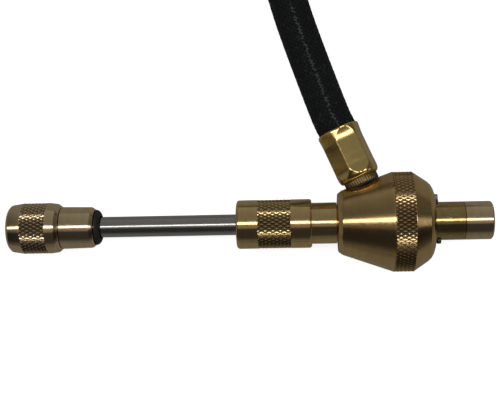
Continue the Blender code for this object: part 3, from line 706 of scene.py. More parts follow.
def lathe(name: str, outline: Outline, sides: int, knurl: Knurl | None = None) -> bpy.types.Mesh:
    """Turns a closed outline about X.

    Args:
        name: The mesh's name.
        outline: Its points as (x, radius, edge).
        sides: How many columns the mesh has, unless it is knurled.
        knurl: A band cut into the outer face that spans it.

    Returns:
        The mesh, with the point attributes edge and hollow.
    """
    stations = [(x, r, edge, None) for x, r, edge in outline]
    if knurl:
        sides = knurl.around * knurl.STEPS
        end = knurl.start + knurl.rows * knurl.step
        stretches = enumerate(zip(stations, stations[1:]))
        at = next(i for i, (near, far) in stretches if near[0] < knurl.start and far[0] > end)
        radius = stations[at][1]
        band = [(knurl.start + row * knurl.step, radius, 0.0, row) for row in range(knurl.rows + 1)]
        before, after = (knurl.start - KNURL_END, radius, 0.0, None), (end + KNURL_END, radius, 0.0, None)
        stations[at + 1 : at + 1] = [before, *band, after]
    angles = 2 * np.pi * np.arange(sides) / sides
    vertices, edges, hollows = [], [], []
    for x, r, edge, row in stations:
        for column, angle in enumerate(angles):
            hollow = knurl.hollow(row, column) if row is not None else 0.0
            cut = r - (knurl.depth * hollow if knurl else 0.0)
            vertices.append((x, cut * math.cos(angle), cut * math.sin(angle)))
            # The edge value lightens the metal, partly worn and partly a painted highlight on roundings and
            # knurl tips; the hollow value is painted shade in the knurl grooves.
            edges.append(edge if row is None else max(0.0, 1.0 - 2.5 * hollow))
            hollows.append(hollow)
    faces = []
    count = len(stations)
    for i, near in enumerate(stations):
        j = (i + 1) % count
        knurled = near[3] is not None and stations[j][3] is not None
        for k in range(sides):
            n = (k + 1) % sides
            a, b = i * sides + k, i * sides + n
            c, d = j * sides + n, j * sides + k
            if not knurled:
                faces.append((a, b, c, d))
            elif (near[3] + k) % 2:
                faces.extend(((a, b, d), (b, c, d)))
            else:
                faces.extend(((a, b, c), (a, c, d)))
    return finished_mesh(name, vertices, faces, {"edge": edges, "hollow": hollows})


def finished_mesh(
    name: str,
    vertices: list,
    faces: list,
    marks: dict[str, list[float]] | None = None,
    sharp: float = SMOOTH_BELOW,
) -> bpy.types.Mesh:
    """Makes a mesh with outward faces and smooth shading.

    Args:
        name: The mesh's name.
        vertices: Its corners.
        faces: Its faces as corner numbers.
        marks: Values at the corners by attribute name.
        sharp: The angle in degrees above which an edge stays sharp.

    Returns:
        The mesh.
    """
    mesh = bpy.data.meshes.new(name)
    mesh.from_pydata(vertices, [], faces)
    for label, values in (marks or {}).items():
        attribute = mesh.attributes.new(label, "FLOAT", "POINT")
        attribute.data.foreach_set("value", np.array(values, np.float32))
    bm = bmesh.new()
    bm.from_mesh(mesh)
    bmesh.ops.recalc_face_normals(bm, faces=bm.faces)
    bm.to_mesh(mesh)
    bm.free()
    mesh.shade_smooth()
    mesh.set_sharp_from_angle(angle=math.radians(sharp))
    return mesh


# ---------------------------------------------------------------- frames and pieces


def linked(name: str, data: bpy.types.ID) -> bpy.types.Object:
    """Makes an object in the scene.

    Args:
        name: Its name.
        data: Its mesh, light or camera.

    Returns:
        The object.
    """
    thing = bpy.data.objects.new(name, data)
    bpy.context.scene.collection.objects.link(thing)
    return thing


def axis_frame(origin: Vector, along: Vector) -> Matrix:
    """Makes a frame whose X runs along an axis and whose Z points as far up as it can.

    Args:
        origin: The frame's origin.
        along: The direction of X.

    Returns:
        The frame's matrix.
    """
    x = along.normalized()
    y = Vector((0.0, 0.0, 1.0)).cross(x).normalized()
    z = x.cross(y)
    matrix = Matrix((x, y, z)).transposed().to_4x4()
    matrix.translation = origin
    return matrix


@dataclass
class Layout:
    """Where the torch and its hose lie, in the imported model's frame."""

    joint: str = "regulator_cap_turn"
    port_x: float = -0.0072
    port_lean: float = math.radians(23.6)
    port_droop: float = math.radians(5.0)
    hose_exit_t: float = 0.0331
    torch: Matrix = field(init=False)
    port: Matrix = field(init=False)

    def __post_init__(self) -> None:
        """Works out the two frames from the record's joint."""
        joint = next(j for j in frame["joints"] if j["name"] == self.joint)
        axis = Vector(joint["axis"])
        belt = Vector(joint["pos_m"])
        self.torch = axis_frame(belt, axis)
        lean, droop = self.port_lean, self.port_droop
        local = Vector(
            (-math.sin(lean), math.cos(lean) * math.cos(droop), -math.cos(lean) * math.sin(droop))
        )
        origin = self.torch @ Vector((self.port_x, 0.0, 0.0))
        self.port = axis_frame(origin, self.torch.to_3x3() @ local)

    @property
    def exit(self) -> Vector:
        """The point where the hose leaves its ferrule."""
        return self.port @ Vector((self.hose_exit_t, 0.0, 0.0))

    @property
    def outwards(self) -> Vector:
        """The direction in which the hose leaves."""
        return self.port.to_3x3() @ Vector((1.0, 0.0, 0.0))


@dataclass
class Bench:
    """What every sub-assembly needs to make its pieces."""

    layout: Layout
    finishes: Finishes
    made: list[str] = field(default_factory=list)

    def piece(
        self, name: str, mesh: bpy.types.Mesh, matrix: Matrix, body: str, slot: Slot, *replaces: str
    ) -> bpy.types.Object:
        """Makes a dressed piece that rides on a body.

        Args:
            name: The piece's name.
            mesh: Its mesh, in the frame that matrix gives.
            matrix: Its place.
            body: The body that it rides on.
            slot: The finish.
            replaces: The nodes that it stands for.

        Returns:
            The piece.
        """
        thing = linked(name, mesh)
        thing.matrix_world = matrix
        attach(thing, body)
        if replaces:
            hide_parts(*replaces)
        self.finishes.dress(thing, slot)
        self.made.append(name)
        LOG.info("%s rides on %s", name, body)
        return thing


def mm(*pairs: Point) -> list[Point]:
    """Turns millimetres to metres.

    Args:
        pairs: Points as (x, radius) in millimetres.

    Returns:
        The same points in metres.
    """
    return [(x * MM, r * MM) for x, r in pairs]


@dataclass(frozen=True)
class Turned:
    """A piece turned about X, with its closed outline in millimetres."""

    name: str
    node: str
    body: str
    slot: Slot
    sides: int
    ease: float
    corners: tuple[Point, ...]
    knurl: Knurl | None = None

    def make(self, bench: Bench, place: Matrix) -> None:
        """Makes and dresses the piece.

        Args:
            bench: What makes pieces.
            place: The frame that it is turned in.
        """
        mesh = lathe(self.name, eased(mm(*self.corners), self.ease * MM), self.sides, self.knurl)
        bench.piece(self.name, mesh, place, self.body, self.slot, self.node)


# ---------------------------------------------------------------- the torch


@dataclass
class MixerBody:
    """The conical body with its barrel, and the belted cap behind it."""

    bench: Bench
    sides: int = 256
    ease: float = 0.22 * MM
    longest: float = 0.5 * MM
    spot_face_t: float = 12.9 * MM
    spot_face_radius: float = 6.0 * MM
    bore_radius: float = 3.5 * MM
    bore_t: float = 4.5 * MM
    turned: tuple[Turned, ...] = (
        Turned(
            "belt_cap", "regulator_cap", "regulator", Slot.BODY, 256, 0.06,
            (
                (-3.56, 12.3), (-3.56, 16.0), (2.66, 16.0), (7.4, 12.75), (8.3, 11.9), (8.95, 10.8),
                (9.35, 9.6), (9.4, 8.6), (9.4, 7.4), (4.3, 7.4), (4.3, 12.3),
            ),
            Knurl(start=-3.45 * MM, rows=15, around=74),
        ),
        Turned(
            "barrel", "front_barrel", "mixer", Slot.COLLAR, 160, 0.15,
            (
                (-40.8, 5.2), (-40.8, 6.6), (-21.3, 6.6), (-21.3, 5.6), (-12.4, 5.6), (-12.4, 4.7),
                (-32.1, 4.7), (-32.1, 3.65), (-35.1, 3.65), (-35.1, 5.2),
            ),
        ),
        Turned(
            "guide_bush", "rear_bush", "regulator", Slot.PACKING, 96, 0.1,
            ((3.3, 6.4), (3.3, 8.3), (4.0, 8.3), (4.0, 7.1), (9.3, 7.1), (9.3, 6.4)),
        ),
    )

    def build(self) -> None:
        """Builds and dresses the pieces."""
        self.cone()
        for piece in self.turned:
            piece.make(self.bench, self.bench.layout.torch)

    def cone(self) -> None:
        """Turns the cone and cuts the side port's spot face and bore."""
        outline = eased(
            mm(
                (-21.0, 5.9), (-21.0, 9.3), (-19.7, 10.3), (-9.0, 14.05), (-3.62, 15.95), (-3.62, 12.0),
                (3.6, 12.0), (3.6, 8.6), (-0.4, 8.6), (-0.4, 7.3), (-12.1, 7.3), (-12.1, 5.9),
            ),
            self.ease,
        )
        outline = self.divided(outline, self.longest)
        layout = self.bench.layout
        blank = linked("cone_blank", lathe("cone_blank", outline, self.sides))
        blank.matrix_world = layout.torch
        tools = []
        for name, start, radius in (
            ("spot_face", self.spot_face_t, self.spot_face_radius),
            ("port_bore", self.bore_t, self.bore_radius),
        ):
            tool = linked(name, self.drill(name, start, radius))
            tool.matrix_world = layout.port
            cut = blank.modifiers.new(name, "BOOLEAN")
            cut.object = tool
            tools.append(tool)
        bpy.context.view_layer.update()
        shown = blank.evaluated_get(bpy.context.evaluated_depsgraph_get())
        mesh = bpy.data.meshes.new_from_object(shown)
        for thing in (blank, *tools):
            bpy.data.objects.remove(thing)
        # Painted shade round the side port.
        self.paint_port_shade(mesh, layout.port.inverted() @ layout.torch)
        mesh.shade_smooth()
        mesh.set_sharp_from_angle(angle=math.radians(SMOOTH_BELOW))
        self.bench.piece("body_cone", mesh, layout.torch, "mixer", Slot.BODY, "mixer_body")

    @staticmethod
    def divided(outline: Outline, most: float) -> Outline:
        """Divides an outline's long stretches.

        Args:
            outline: Points as (x, radius, edge).
            most: The longest stretch that stays whole.

        Returns:
            The outline with more points.
        """
        result: Outline = []
        for near, far in zip(outline, [*outline[1:], outline[0]]):
            count = max(1, math.ceil(math.dist(near[:2], far[:2]) / most))
            for k in range(count):
                result.append(tuple(a + (b - a) * k / count for a, b in zip(near, far)))
        return result

    @staticmethod
    def paint_port_shade(mesh: bpy.types.Mesh, to_port: Matrix) -> None:
        """Paints shade on the metal close to the side port: a high hollow value there darkens it, a painted
        shade round the spot face.

        Args:
            mesh: The body's mesh.
            to_port: What takes the mesh's frame to the port's frame.
        """
        shade_fades_at, shade_full_at = 8.0 * MM, 5.6 * MM
        hollow = mesh.attributes["hollow"].data
        for vertex in mesh.vertices:
            place = to_port @ vertex.co
            away = math.hypot(place.y, place.z)
            if place.x > shade_full_at:
                hollow[vertex.index].value = 0.9 * min(1.0, max(0.0, (shade_fades_at - away) / (shade_fades_at - shade_full_at)))

    @staticmethod
    def drill(name: str, start: float, radius: float) -> bpy.types.Mesh:
        """Makes a drill as a closed bar along X.

        Args:
            name: The mesh's name.
            start: Where its flat end is.
            radius: Its radius.

        Returns:
            The mesh.
        """
        sides, end = 96, 40.0 * MM
        angles = [2 * math.pi * k / sides for k in range(sides)]
        vertices = [(x, radius * math.cos(a), radius * math.sin(a)) for x in (start, end) for a in angles]
        faces = quads(2, sides, closed=False)
        faces += [tuple(range(sides)), tuple(range(sides, 2 * sides))]
        return finished_mesh(name, vertices, faces)


@dataclass
class FrontEnd:
    """The gland collar, and the sliding lance with its bumper, neck and screwed nozzle cap."""

    bench: Bench
    turned: tuple[Turned, ...] = (
        Turned(
            "collar", "gland_collar", "collar", Slot.COLLAR, 144, 0.2,
            (
                (-53.4, 7.1), (-53.15, 7.6), (-52.65, 7.85), (-29.8, 7.85), (-29.3, 7.35), (-29.3, 6.9),
                (-42.0, 6.9), (-42.0, 3.65), (-43.4, 3.65), (-43.4, 7.1),
            ),
            Knurl(start=-46.4 * MM, rows=26, around=36),
        ),
        Turned(
            "steel_tube", "lance_tube", "lance", Slot.STEEL, 96, 0.2,
            ((-113.9, 2.2), (-113.9, 3.35), (-28.1, 3.35), (-28.1, 2.2)),
        ),
        Turned(
            "bumper_ring", "rubber_bumper", "lance", Slot.RUBBER, 128, 0.45,
            ((-99.3, 3.65), (-99.3, 5.8), (-98.7, 5.6), (-98.1, 5.0), (-97.8, 4.2), (-97.8, 3.65)),
        ),
        Turned(
            "neck", "nozzle_neck", "lance", Slot.PALE, 160, 0.16,
            (
                (-121.6, 2.2), (-121.6, 5.0), (-110.5, 5.0), (-110.5, 6.85), (-100.8, 6.65), (-99.6, 5.9),
                (-99.6, 3.65), (-114.2, 3.65), (-114.2, 2.2),
            ),
        ),
        Turned(
            "knurled_cap", "nozzle_cap", "nozzle", Slot.PALE, 160, 0.2,
            (
                (-127.7, 4.4), (-127.7, 6.8), (-126.9, 7.7), (-123.1, 8.28), (-114.6, 8.28),
                (-111.9, 7.95), (-110.7, 6.95), (-110.7, 5.3), (-124.4, 5.3), (-124.4, 4.4),
            ),
            Knurl(start=-122.8 * MM, rows=20, around=40),
        ),
    )

    def build(self) -> None:
        """Builds and dresses the pieces."""
        for piece in self.turned:
            piece.make(self.bench, self.bench.layout.torch)


@dataclass
class RearTube:
    """The tube in the rear, its pale end ring and the spring clip behind the cap."""

    bench: Bench
    clip_front: float = 10.1 * MM
    clip_thickness: float = 1.0 * MM
    lean: float = 0.4 * MM
    clip_inner: float = 6.4 * MM
    clip_outer: float = 7.3 * MM
    ear_radius: float = 8.6 * MM
    ear_half_angle: float = math.radians(13)
    opening: float = math.radians(128)
    turned: tuple[Turned, ...] = (
        Turned(
            "sliding_tube", "rear_tube", "rear_tube", Slot.TUBE, 160, 0.1,
            ((-2.2, 4.7), (-2.2, 6.1), (18.9, 6.1), (18.9, 5.4), (27.3, 5.4), (27.3, 4.7)),
        ),
        Turned(
            "end_ring", "tube_end_ring", "rear_tube", Slot.PALE, 160, 0.12,
            ((19.05, 5.7), (19.05, 6.1), (27.3, 6.1), (27.8, 5.6), (27.8, 4.7), (27.6, 4.7), (27.6, 5.7)),
        ),
    )

    def build(self) -> None:
        """Builds and dresses the pieces."""
        torch = self.bench.layout.torch
        for piece in self.turned:
            piece.make(self.bench, torch)
        self.bench.piece("spring_clip", self.clip(), torch, "regulator", Slot.SPRING, "retaining_clip")

    def clip(self) -> bpy.types.Mesh:
        """Makes the open ring with its ear.

        Returns:
            The mesh.
        """
        steps, ease = 120, 0.12 * MM
        start = math.pi / 2 + self.opening / 2
        sweep = 2 * math.pi - self.opening
        front, rear = self.clip_front, self.clip_front + self.clip_thickness
        vertices = []
        for k in range(steps + 1):
            turn = start + sweep * k / steps
            from_ear = max(0.0, abs(turn - 2 * math.pi) - self.ear_half_angle) / math.radians(5)
            outer = self.clip_outer + (self.ear_radius - self.clip_outer) * smoothstep(1.0 - from_ear)
            at_end = min(1.0, min(k, steps - k) / 5)
            outer = self.clip_inner + (outer - self.clip_inner) * math.sqrt(0.35 + 0.65 * at_end)
            section = (
                (front, self.clip_inner), (front, outer - ease), (front + ease, outer),
                (rear - ease, outer), (rear, outer - ease), (rear, self.clip_inner),
            )
            c, s = math.cos(turn), math.sin(turn)
            vertices += [(x - self.lean * c, r * c, r * s) for x, r in section]
        width = 6
        faces = quads(steps + 1, width, closed=False)
        faces += [tuple(range(width)), tuple(steps * width + i for i in range(width))]
        return finished_mesh("spring_clip", vertices, faces)


@dataclass
class Crimp:
    """A six-jaw crimped ferrule."""

    radius: float = 6.95 * MM
    bore: float = 5.6 * MM
    lip_bore: float = 3.5 * MM
    length: float = 17.2 * MM
    base_radius: float = 5.7 * MM
    taper_from: float = 3.0 * MM
    round_from: float = 1.9 * MM
    slope: float = 0.2
    flat: float = 6.08 * MM
    run_out: float = 50.0
    jaw_from: float = 4.8 * MM
    jaw_to: float = 12.6 * MM
    first_ridge: float = math.radians(68.4375)
    soft: float = 0.012 * MM
    top_ease: float = 0.55 * MM
    top_drop: float = 0.30 * MM
    smooth_below: float = 16.0
    sides: int = 192

    def outer(self, t: float, angle: float) -> tuple[float, float]:
        """Works out the crimped surface.

        Args:
            t: The distance from the base.
            angle: The angle around the axis.

        Returns:
            The radius there, and how much of an edge it is.
        """
        plain = self.radius - self.slope * max(0.0, self.taper_from - max(t, self.round_from))
        rounding = max(0.0, 1.0 - t / self.round_from)
        plain = self.base_radius + (plain - self.base_radius) * math.sqrt(1.0 - rounding**2)
        top = (self.length - t) / self.top_ease
        if top < 1.0:
            plain -= self.top_drop * (1.0 - math.sqrt(max(0.0, 1.0 - (1.0 - top) ** 2)))
        from_middle = (angle - self.first_ridge) % SIXTH - SIXTH / 2
        outside = max(0.0, self.jaw_from - t, t - self.jaw_to)
        jaw = self.flat / math.cos(from_middle) + self.run_out * outside**2
        gap = (plain - jaw) / self.soft
        if gap > 6:
            radius = jaw
        elif gap < -6:
            radius = plain
        else:
            radius = plain - self.soft * math.log1p(math.exp(gap))
        return radius, math.exp(-(gap**2) / 3)

    def mesh(self, name: str, start: float) -> bpy.types.Mesh:
        """Makes the ferrule along X.

        Args:
            name: The mesh's name.
            start: Where its base is.

        Returns:
            The mesh.
        """
        rows = [k / 3 * 0.25 * MM for k in range(8)]
        rows += list(np.linspace(0.9 * MM, self.length - 0.9 * MM, 56))
        rows += [self.length - below * MM for below in (0.6, 0.35, 0.15, 0.02)]
        inner = [
            (self.length, self.bore + 0.12 * MM), (self.length - 0.3 * MM, self.bore),
            (1.0 * MM, self.bore), (1.0 * MM, self.lip_bore), (0.0, self.lip_bore),
        ]
        vertices, edges = [], []
        angles = [2 * math.pi * k / self.sides for k in range(self.sides)]
        for t in rows:
            for angle in angles:
                r, edge = self.outer(t, angle)
                vertices.append((start + t, r * math.cos(angle), r * math.sin(angle)))
                # A faint edge value along the jaw ridges and run-outs: a painted highlight line.
                edges.append(edge * 0.2)
        for t, r in inner:
            for angle in angles:
                vertices.append((start + t, r * math.cos(angle), r * math.sin(angle)))
                edges.append(0.0)
        faces = quads(len(rows) + len(inner), self.sides, closed=True)
        marks = {"edge": edges, "hollow": [0.0] * len(vertices)}
        return finished_mesh(name, vertices, faces, marks, self.smooth_below)


@dataclass
class SidePort:
    """The nipple, its washer and the ferrule on the body's side."""

    bench: Bench
    crimp: Crimp = field(default_factory=Crimp)
    ferrule_t: float = 15.6 * MM
    serrations: int = 40
    serration_depth: float = 0.22 * MM
    serrated_beyond: float = 5.0 * MM
    washer: Turned = Turned(
        "seat_washer", "port_seal_washer", "mixer", Slot.RUBBER, 96, 0.2,
        ((12.95, 3.5), (12.95, 5.3), (13.45, 5.3), (13.45, 3.5)),
    )

    def build(self) -> None:
        """Builds and dresses the pieces."""
        port = self.bench.layout.port
        self.washer.make(self.bench, port)
        self.bench.piece("nipple", self.nipple(), port, "mixer", Slot.NIPPLE, "hose_nipple")
        ferrule = self.crimp.mesh("ferrule", self.ferrule_t)
        self.bench.piece("ferrule", ferrule, port, "mixer", Slot.FERRULE, "torch_ferrule")

    def nipple(self) -> bpy.types.Mesh:
        """Turns the barbed nipple and cuts fine teeth in its flange.

        Returns:
            The mesh.
        """
        bore, root, crest, flange, first, pitch = 1.6, 2.7, 3.2, 5.6, 16.2, 4.2
        corners = [(9.0, bore), (9.0, crest), (13.5, crest), (13.5, flange), (15.5, flange), (15.5, root)]
        for k in range(3):
            foot = first + pitch * (k + 0.35)
            corners += [(foot, root), (foot, crest), (first + pitch * (k + 1), root)]
        corners.append((28.8, bore))
        mesh = lathe("nipple", eased(mm(*corners), 0.1 * MM, 2), self.serrations * 4)
        hollow = mesh.attributes["hollow"].data
        for vertex in mesh.vertices:
            radius = math.hypot(vertex.co.y, vertex.co.z)
            if radius < self.serrated_beyond:
                continue
            turn = math.atan2(vertex.co.z, vertex.co.y) / (2 * math.pi) * self.serrations
            wave = 0.5 - 0.5 * math.cos(2 * math.pi * turn)
            kept = 1 - self.serration_depth * wave / radius
            vertex.co.y *= kept
            vertex.co.z *= kept
            # The hollow value paints the serration valleys darker: painted shade.
            hollow[vertex.index].value = 0.8 * wave
        return mesh


# ---------------------------------------------------------------- the hose


@dataclass
class Hose:
    """The braided hose: a lead from the torch, a flat coil and the supply fitting at its end."""

    bench: Bench
    radius: float = 6.35 * MM
    lift: float = 0.2 * MM
    outer_turn: float = 66.2 * MM
    inner_turn: float = 53.4 * MM
    layer: float = 12.75 * MM
    coil_centre: Point = (-0.0067, 0.1350)
    entry: float = math.radians(240)
    bend: float = 50.0 * MM
    bend_before: tuple[float, ...] = (0.568, 0.284, 0.0)
    lead: tuple[Place, ...] = (
        (-0.0081, 0.0222, 0.0086), (-0.0127, 0.0362, 0.0070), (-0.0167, 0.0495, 0.0066)
    )
    lead_step: float = 0.006
    fitting_angle: float = math.radians(-82)
    fitting_radius: float = 0.0671
    fitting_height: float = 0.0193
    fitting_length: float = 0.0326
    fitting_reach: float = 0.036
    step_in_until: float = 360.0
    step_in: float = 70.0
    climb_from: float = 655.0
    climb: float = 75.0
    leave_turn: float = 915.0
    length: float = 1.135
    path_points: int = 110
    bundles: int = 24
    relief: float = 0.16 * MM
    fine_until: float = 0.135
    crimp: Crimp = field(default_factory=lambda: Crimp(
        length=16.3 * MM, jaw_to=11.7 * MM, first_ridge=math.radians(21.5625)
    ))

    CURVE_STEPS = 24

    def build(self) -> None:
        points = self.path()
        places = self.row_places(points)
        mesh = self.tube(self.resampled(points, places), places)
        hose = self.bench.piece(
            "braided_hose", mesh, Matrix.Identity(4), "mixer", Slot.HOSE, "gas_hose", "gas_hose_coil"
        )
        hose.visible_glossy = False
        ferrule, stem = self.fitting()

    @property
    def centre(self) -> Vector:
        """The coil's centre on the table."""
        exit_point = self.bench.layout.exit
        return Vector((exit_point.x + self.coil_centre[0], exit_point.y + self.coil_centre[1], 0.0))

    @staticmethod
    def travelled(points: np.ndarray) -> np.ndarray:
        """Measures along a line of points.

        Args:
            points: The points.

        Returns:
            The distance from the first point to each.
        """
        steps = np.linalg.norm(np.diff(points, axis=0), axis=1)
        return np.concatenate([[0.0], np.cumsum(steps)])

    def on_coil(self, turn: float) -> Place:
        """Places the hose on the coil.

        Args:
            turn: Degrees from where it joins the coil.

        Returns:
            The point.
        """
        out = smoothstep((self.step_in_until - turn) / self.step_in)
        radius = self.inner_turn + (self.outer_turn - self.inner_turn) * out
        height = self.radius + self.lift + self.layer * smoothstep((turn - self.climb_from) / self.climb)
        angle = self.entry - math.radians(turn)
        centre = self.centre
        return centre.x + radius * math.cos(angle), centre.y + radius * math.sin(angle), height

    def supply_place(self, share: float) -> tuple[Vector, Vector]:
        """Finds a place on the supply fitting's axis.

        Args:
            share: How far it is from the fitting's middle, as a share of its length.

        Returns:
            The place, and the direction that the fitting points in.
        """
        out = Vector((math.cos(self.fitting_angle), math.sin(self.fitting_angle), 0.0))
        forwards = Vector((out.y, -out.x, 0.0))
        place = self.centre + out * self.fitting_radius + forwards * self.fitting_length * share
        place.z = self.fitting_height
        return place, forwards

    def path(self) -> np.ndarray:
        """Works out the hose's centreline from the ferrule to the supply fitting.

        Returns:
            Points a few millimetres apart or less.
        """
        layout = self.bench.layout
        exit_point, centre, low = layout.exit, self.centre, self.radius + self.lift
        apart = self.outer_turn + self.bend
        turning = centre + Vector((math.cos(self.entry), math.sin(self.entry), 0.0)) * apart
        chosen = [Vector((exit_point.x + x, exit_point.y + y, z)) for x, y, z in self.lead]
        stops = [exit_point, exit_point + layout.outwards * self.lead_step, *chosen]
        for before in self.bend_before:
            angle = self.entry + math.pi - before
            stops.append(turning + Vector((math.cos(angle), math.sin(angle), 0.0)) * self.bend)
            stops[-1].z = low
        coil = [Vector(self.on_coil(turn)) for turn in np.arange(3.0, self.leave_turn + 1.0, 3.0)]
        line = self.smooth([*stops, coil[1]])[: -self.CURVE_STEPS]
        target, forwards = self.supply_place(-0.5)
        heading = (coil[-1] - coil[-2]).normalized()
        reach = self.fitting_reach
        bend = [coil[-1], coil[-1] + heading * reach, target - forwards * reach, target]
        last = []
        for t in np.linspace(0.0, 1.0, 60)[1:]:
            weights = ((1 - t) ** 3, 3 * t * (1 - t) ** 2, 3 * t * t * (1 - t), t**3)
            last.append(sum((float(w) * p for w, p in zip(weights, bend)), Vector()))
        everything = np.array([tuple(p) for p in [*line, *coil, *last]])
        keep = np.concatenate([[True], np.linalg.norm(np.diff(everything, axis=0), axis=1) > 1e-6])
        return everything[keep]

    def smooth(self, points: list[Vector]) -> list[Vector]:
        """Draws a smooth curve through points.

        Args:
            points: The points.

        Returns:
            CURVE_STEPS points to each stretch.
        """
        ends = [2 * points[0] - points[1], *points, 2 * points[-1] - points[-2]]
        fine = []
        for a, b, c, d in zip(ends, ends[1:], ends[2:], ends[3:]):
            for k in range(self.CURVE_STEPS):
                t = k / self.CURVE_STEPS
                bend = 2 * a - 5 * b + 4 * c - d
                twist = 3 * b - a - 3 * c + d
                fine.append((2 * b + (c - a) * t + bend * t**2 + twist * t**3) / 2)
        return fine

    def row_places(self, points: np.ndarray) -> np.ndarray:
        """Chooses the mesh's rows: close together where the weave is cut in, wider on the coil.

        Args:
            points: The centreline.

        Returns:
            Distances along it.
        """
        total = self.travelled(points)[-1]
        pitch = 2 * math.pi * self.radius / self.bundles / 4
        fine = np.arange(0.0, self.fine_until, pitch)
        rest = np.linspace(fine[-1] + pitch, total, round((total - fine[-1]) / (1.3 * MM)))
        return np.concatenate([fine, rest])

    def resampled(self, points: np.ndarray, places: np.ndarray) -> tuple[np.ndarray, np.ndarray]:
        """Reads the centreline at chosen distances.

        Args:
            points: The centreline.
            places: The distances.

        Returns:
            The points there.
        """
        travelled = self.travelled(points)
        return np.stack([np.interp(places, travelled, points[:, i]) for i in range(3)], axis=1)

    def tube(self, points: np.ndarray, places: np.ndarray) -> bpy.types.Mesh:
        """Sweeps the braided tube along its rows.

        Args:
            points: Each row's middle.
            places: Its distance along the hose.

        Returns:
            The mesh, with the braid's own coordinates.
        """
        sides = self.bundles * 4
        ahead = np.gradient(points, axis=0)
        ahead /= np.linalg.norm(ahead, axis=1)[:, None]
        side = np.cross(ahead[0], (0.0, 0.0, 1.0))
        angles = 2 * np.pi * np.arange(sides) / sides
        turns = np.arange(sides) / sides * self.bundles
        width = 2 * math.pi * self.radius / self.bundles
        rings = []
        for k, (point, direction) in enumerate(zip(points, ahead)):
            side = side - direction * np.dot(side, direction)
            side /= np.linalg.norm(side)
            other = np.cross(direction, side)
            along = places[k] / width
            fade = min(1.0, max(0.0, (self.fine_until - 0.004 - places[k]) / 0.008))
            relief = self.relief * fade * (1.0 - self.woven(turns, along))
            reach = self.radius - 0.02 * MM - relief
            across = np.outer(reach * np.cos(angles), side) + np.outer(reach * np.sin(angles), other)
            rings.append(point + across)
        vertices = np.concatenate([*rings, points[:1], points[-1:]])
        count = len(rings)
        start, end = count * sides, count * sides + 1
        faces = quads(count, sides, closed=False)
        for k in range(sides):
            n = (k + 1) % sides
            faces.append((start, n, k))
            faces.append((end, (count - 1) * sides + k, (count - 1) * sides + n))
        mesh = finished_mesh("braided_hose", [tuple(v) for v in vertices], faces, sharp=60.0)
        layer = mesh.uv_layers.new(name="braid")
        numbers = np.zeros(len(mesh.loops), np.int64)
        mesh.loops.foreach_get("vertex_index", numbers)
        rows_of, columns = numbers // sides, (numbers % sides).astype(float)
        starts = np.zeros(len(mesh.polygons), np.int64)
        mesh.polygons.foreach_get("loop_start", starts)
        totals = np.zeros(len(mesh.polygons), np.int64)
        mesh.polygons.foreach_get("loop_total", totals)
        owner = np.repeat(np.arange(len(starts)), totals)
        widest = np.zeros(len(starts))
        np.maximum.at(widest, owner, columns)
        columns = np.where((columns == 0) & (widest[owner] > sides / 2), float(sides), columns)
        safe = np.clip(rows_of, 0, count - 1)
        spread = np.stack([columns / sides * self.bundles, places[safe] / width], axis=1)
        layer.data.foreach_set("uv", spread.ravel().astype(np.float32))
        return mesh

    @staticmethod
    def woven(around: np.ndarray, along: float) -> np.ndarray:
        """Works out the braid's height.

        Args:
            around: Positions around the hose, in bundles.
            along: The position along it, in bundle widths.

        Returns:
            Heights from 0 to 1.
        """
        right, left = around + along, around - along
        over = np.mod(np.floor(right) - np.floor(left), 4) < OVER_UNTIL
        first = np.sin(np.pi * np.mod(right, 1.0)) * np.where(over, 1.0, UNDER_HEIGHT)
        second = np.sin(np.pi * np.mod(left, 1.0)) * np.where(over, UNDER_HEIGHT, 1.0)
        return np.maximum(first, second)

    def fitting(self) -> tuple[bpy.types.Object, bpy.types.Object]:
        """Makes the supply ferrule and the threaded stem.

        Returns:
            The two pieces.
        """
        origin, forwards = self.supply_place(0.5)
        matrix = axis_frame(origin, -forwards)
        ferrule = self.crimp.mesh("supply_crimp", self.fitting_length - self.crimp.length)
        stem = self.stem()
        return (
            self.bench.piece("supply_crimp", ferrule, matrix, "mixer", Slot.FERRULE, "supply_ferrule"),
            self.bench.piece("threaded_stem", stem, matrix, "mixer", Slot.NIPPLE, "supply_stem"),
        )

    @staticmethod
    def stem() -> bpy.types.Mesh:
        """Makes the stem: a thread, a hexagon and the barbs inside the ferrule.

        Returns:
            The mesh.
        """
        sides, pitch, depth, tip, flat = 96, 1.25, 0.62, 0.2, 5.75
        stations = [(0.0, 1.6, "plain"), (0.0, 3.9, "plain")]
        stations += [(x, 4.8, "thread") for x in np.arange(tip, 11.9, pitch / 8)]
        stations += [(12.0, 4.3, "plain")]
        stations += [(x, r, "hexagon") for x, r in ((12.0, 6.0), (12.4, 6.6), (15.6, 6.6), (16.0, 6.0))]
        barbs = ((16.0, 2.7), (17.5, 2.7), (17.5, 3.2), (20.2, 2.7), (28.6, 2.7), (28.6, 1.6))
        stations += [(x, r, "plain") for x, r in barbs]
        vertices, hollows = [], []
        for x, r, kind in stations:
            for k in range(sides):
                angle = 2 * math.pi * k / sides
                hollow = 0.0
                reach = r
                if kind == "thread":
                    phase = (x / pitch - k / sides) % 1.0
                    hollow = abs(2 * phase - 1)
                    reach = r - depth * hollow * min(1.0, (x - tip) / 0.8 + 0.3)
                elif kind == "hexagon":
                    reach = min(r, flat / math.cos((angle % SIXTH) - SIXTH / 2))
                vertices.append((x * MM, reach * MM * math.cos(angle), reach * MM * math.sin(angle)))
                # The hollow value paints the thread roots darker: painted shade.
                hollows.append(0.6 * hollow)
        faces = quads(len(stations), sides, closed=True)
        marks = {"hollow": hollows, "edge": [0.0] * len(hollows)}
        return finished_mesh("threaded_stem", vertices, faces, marks)


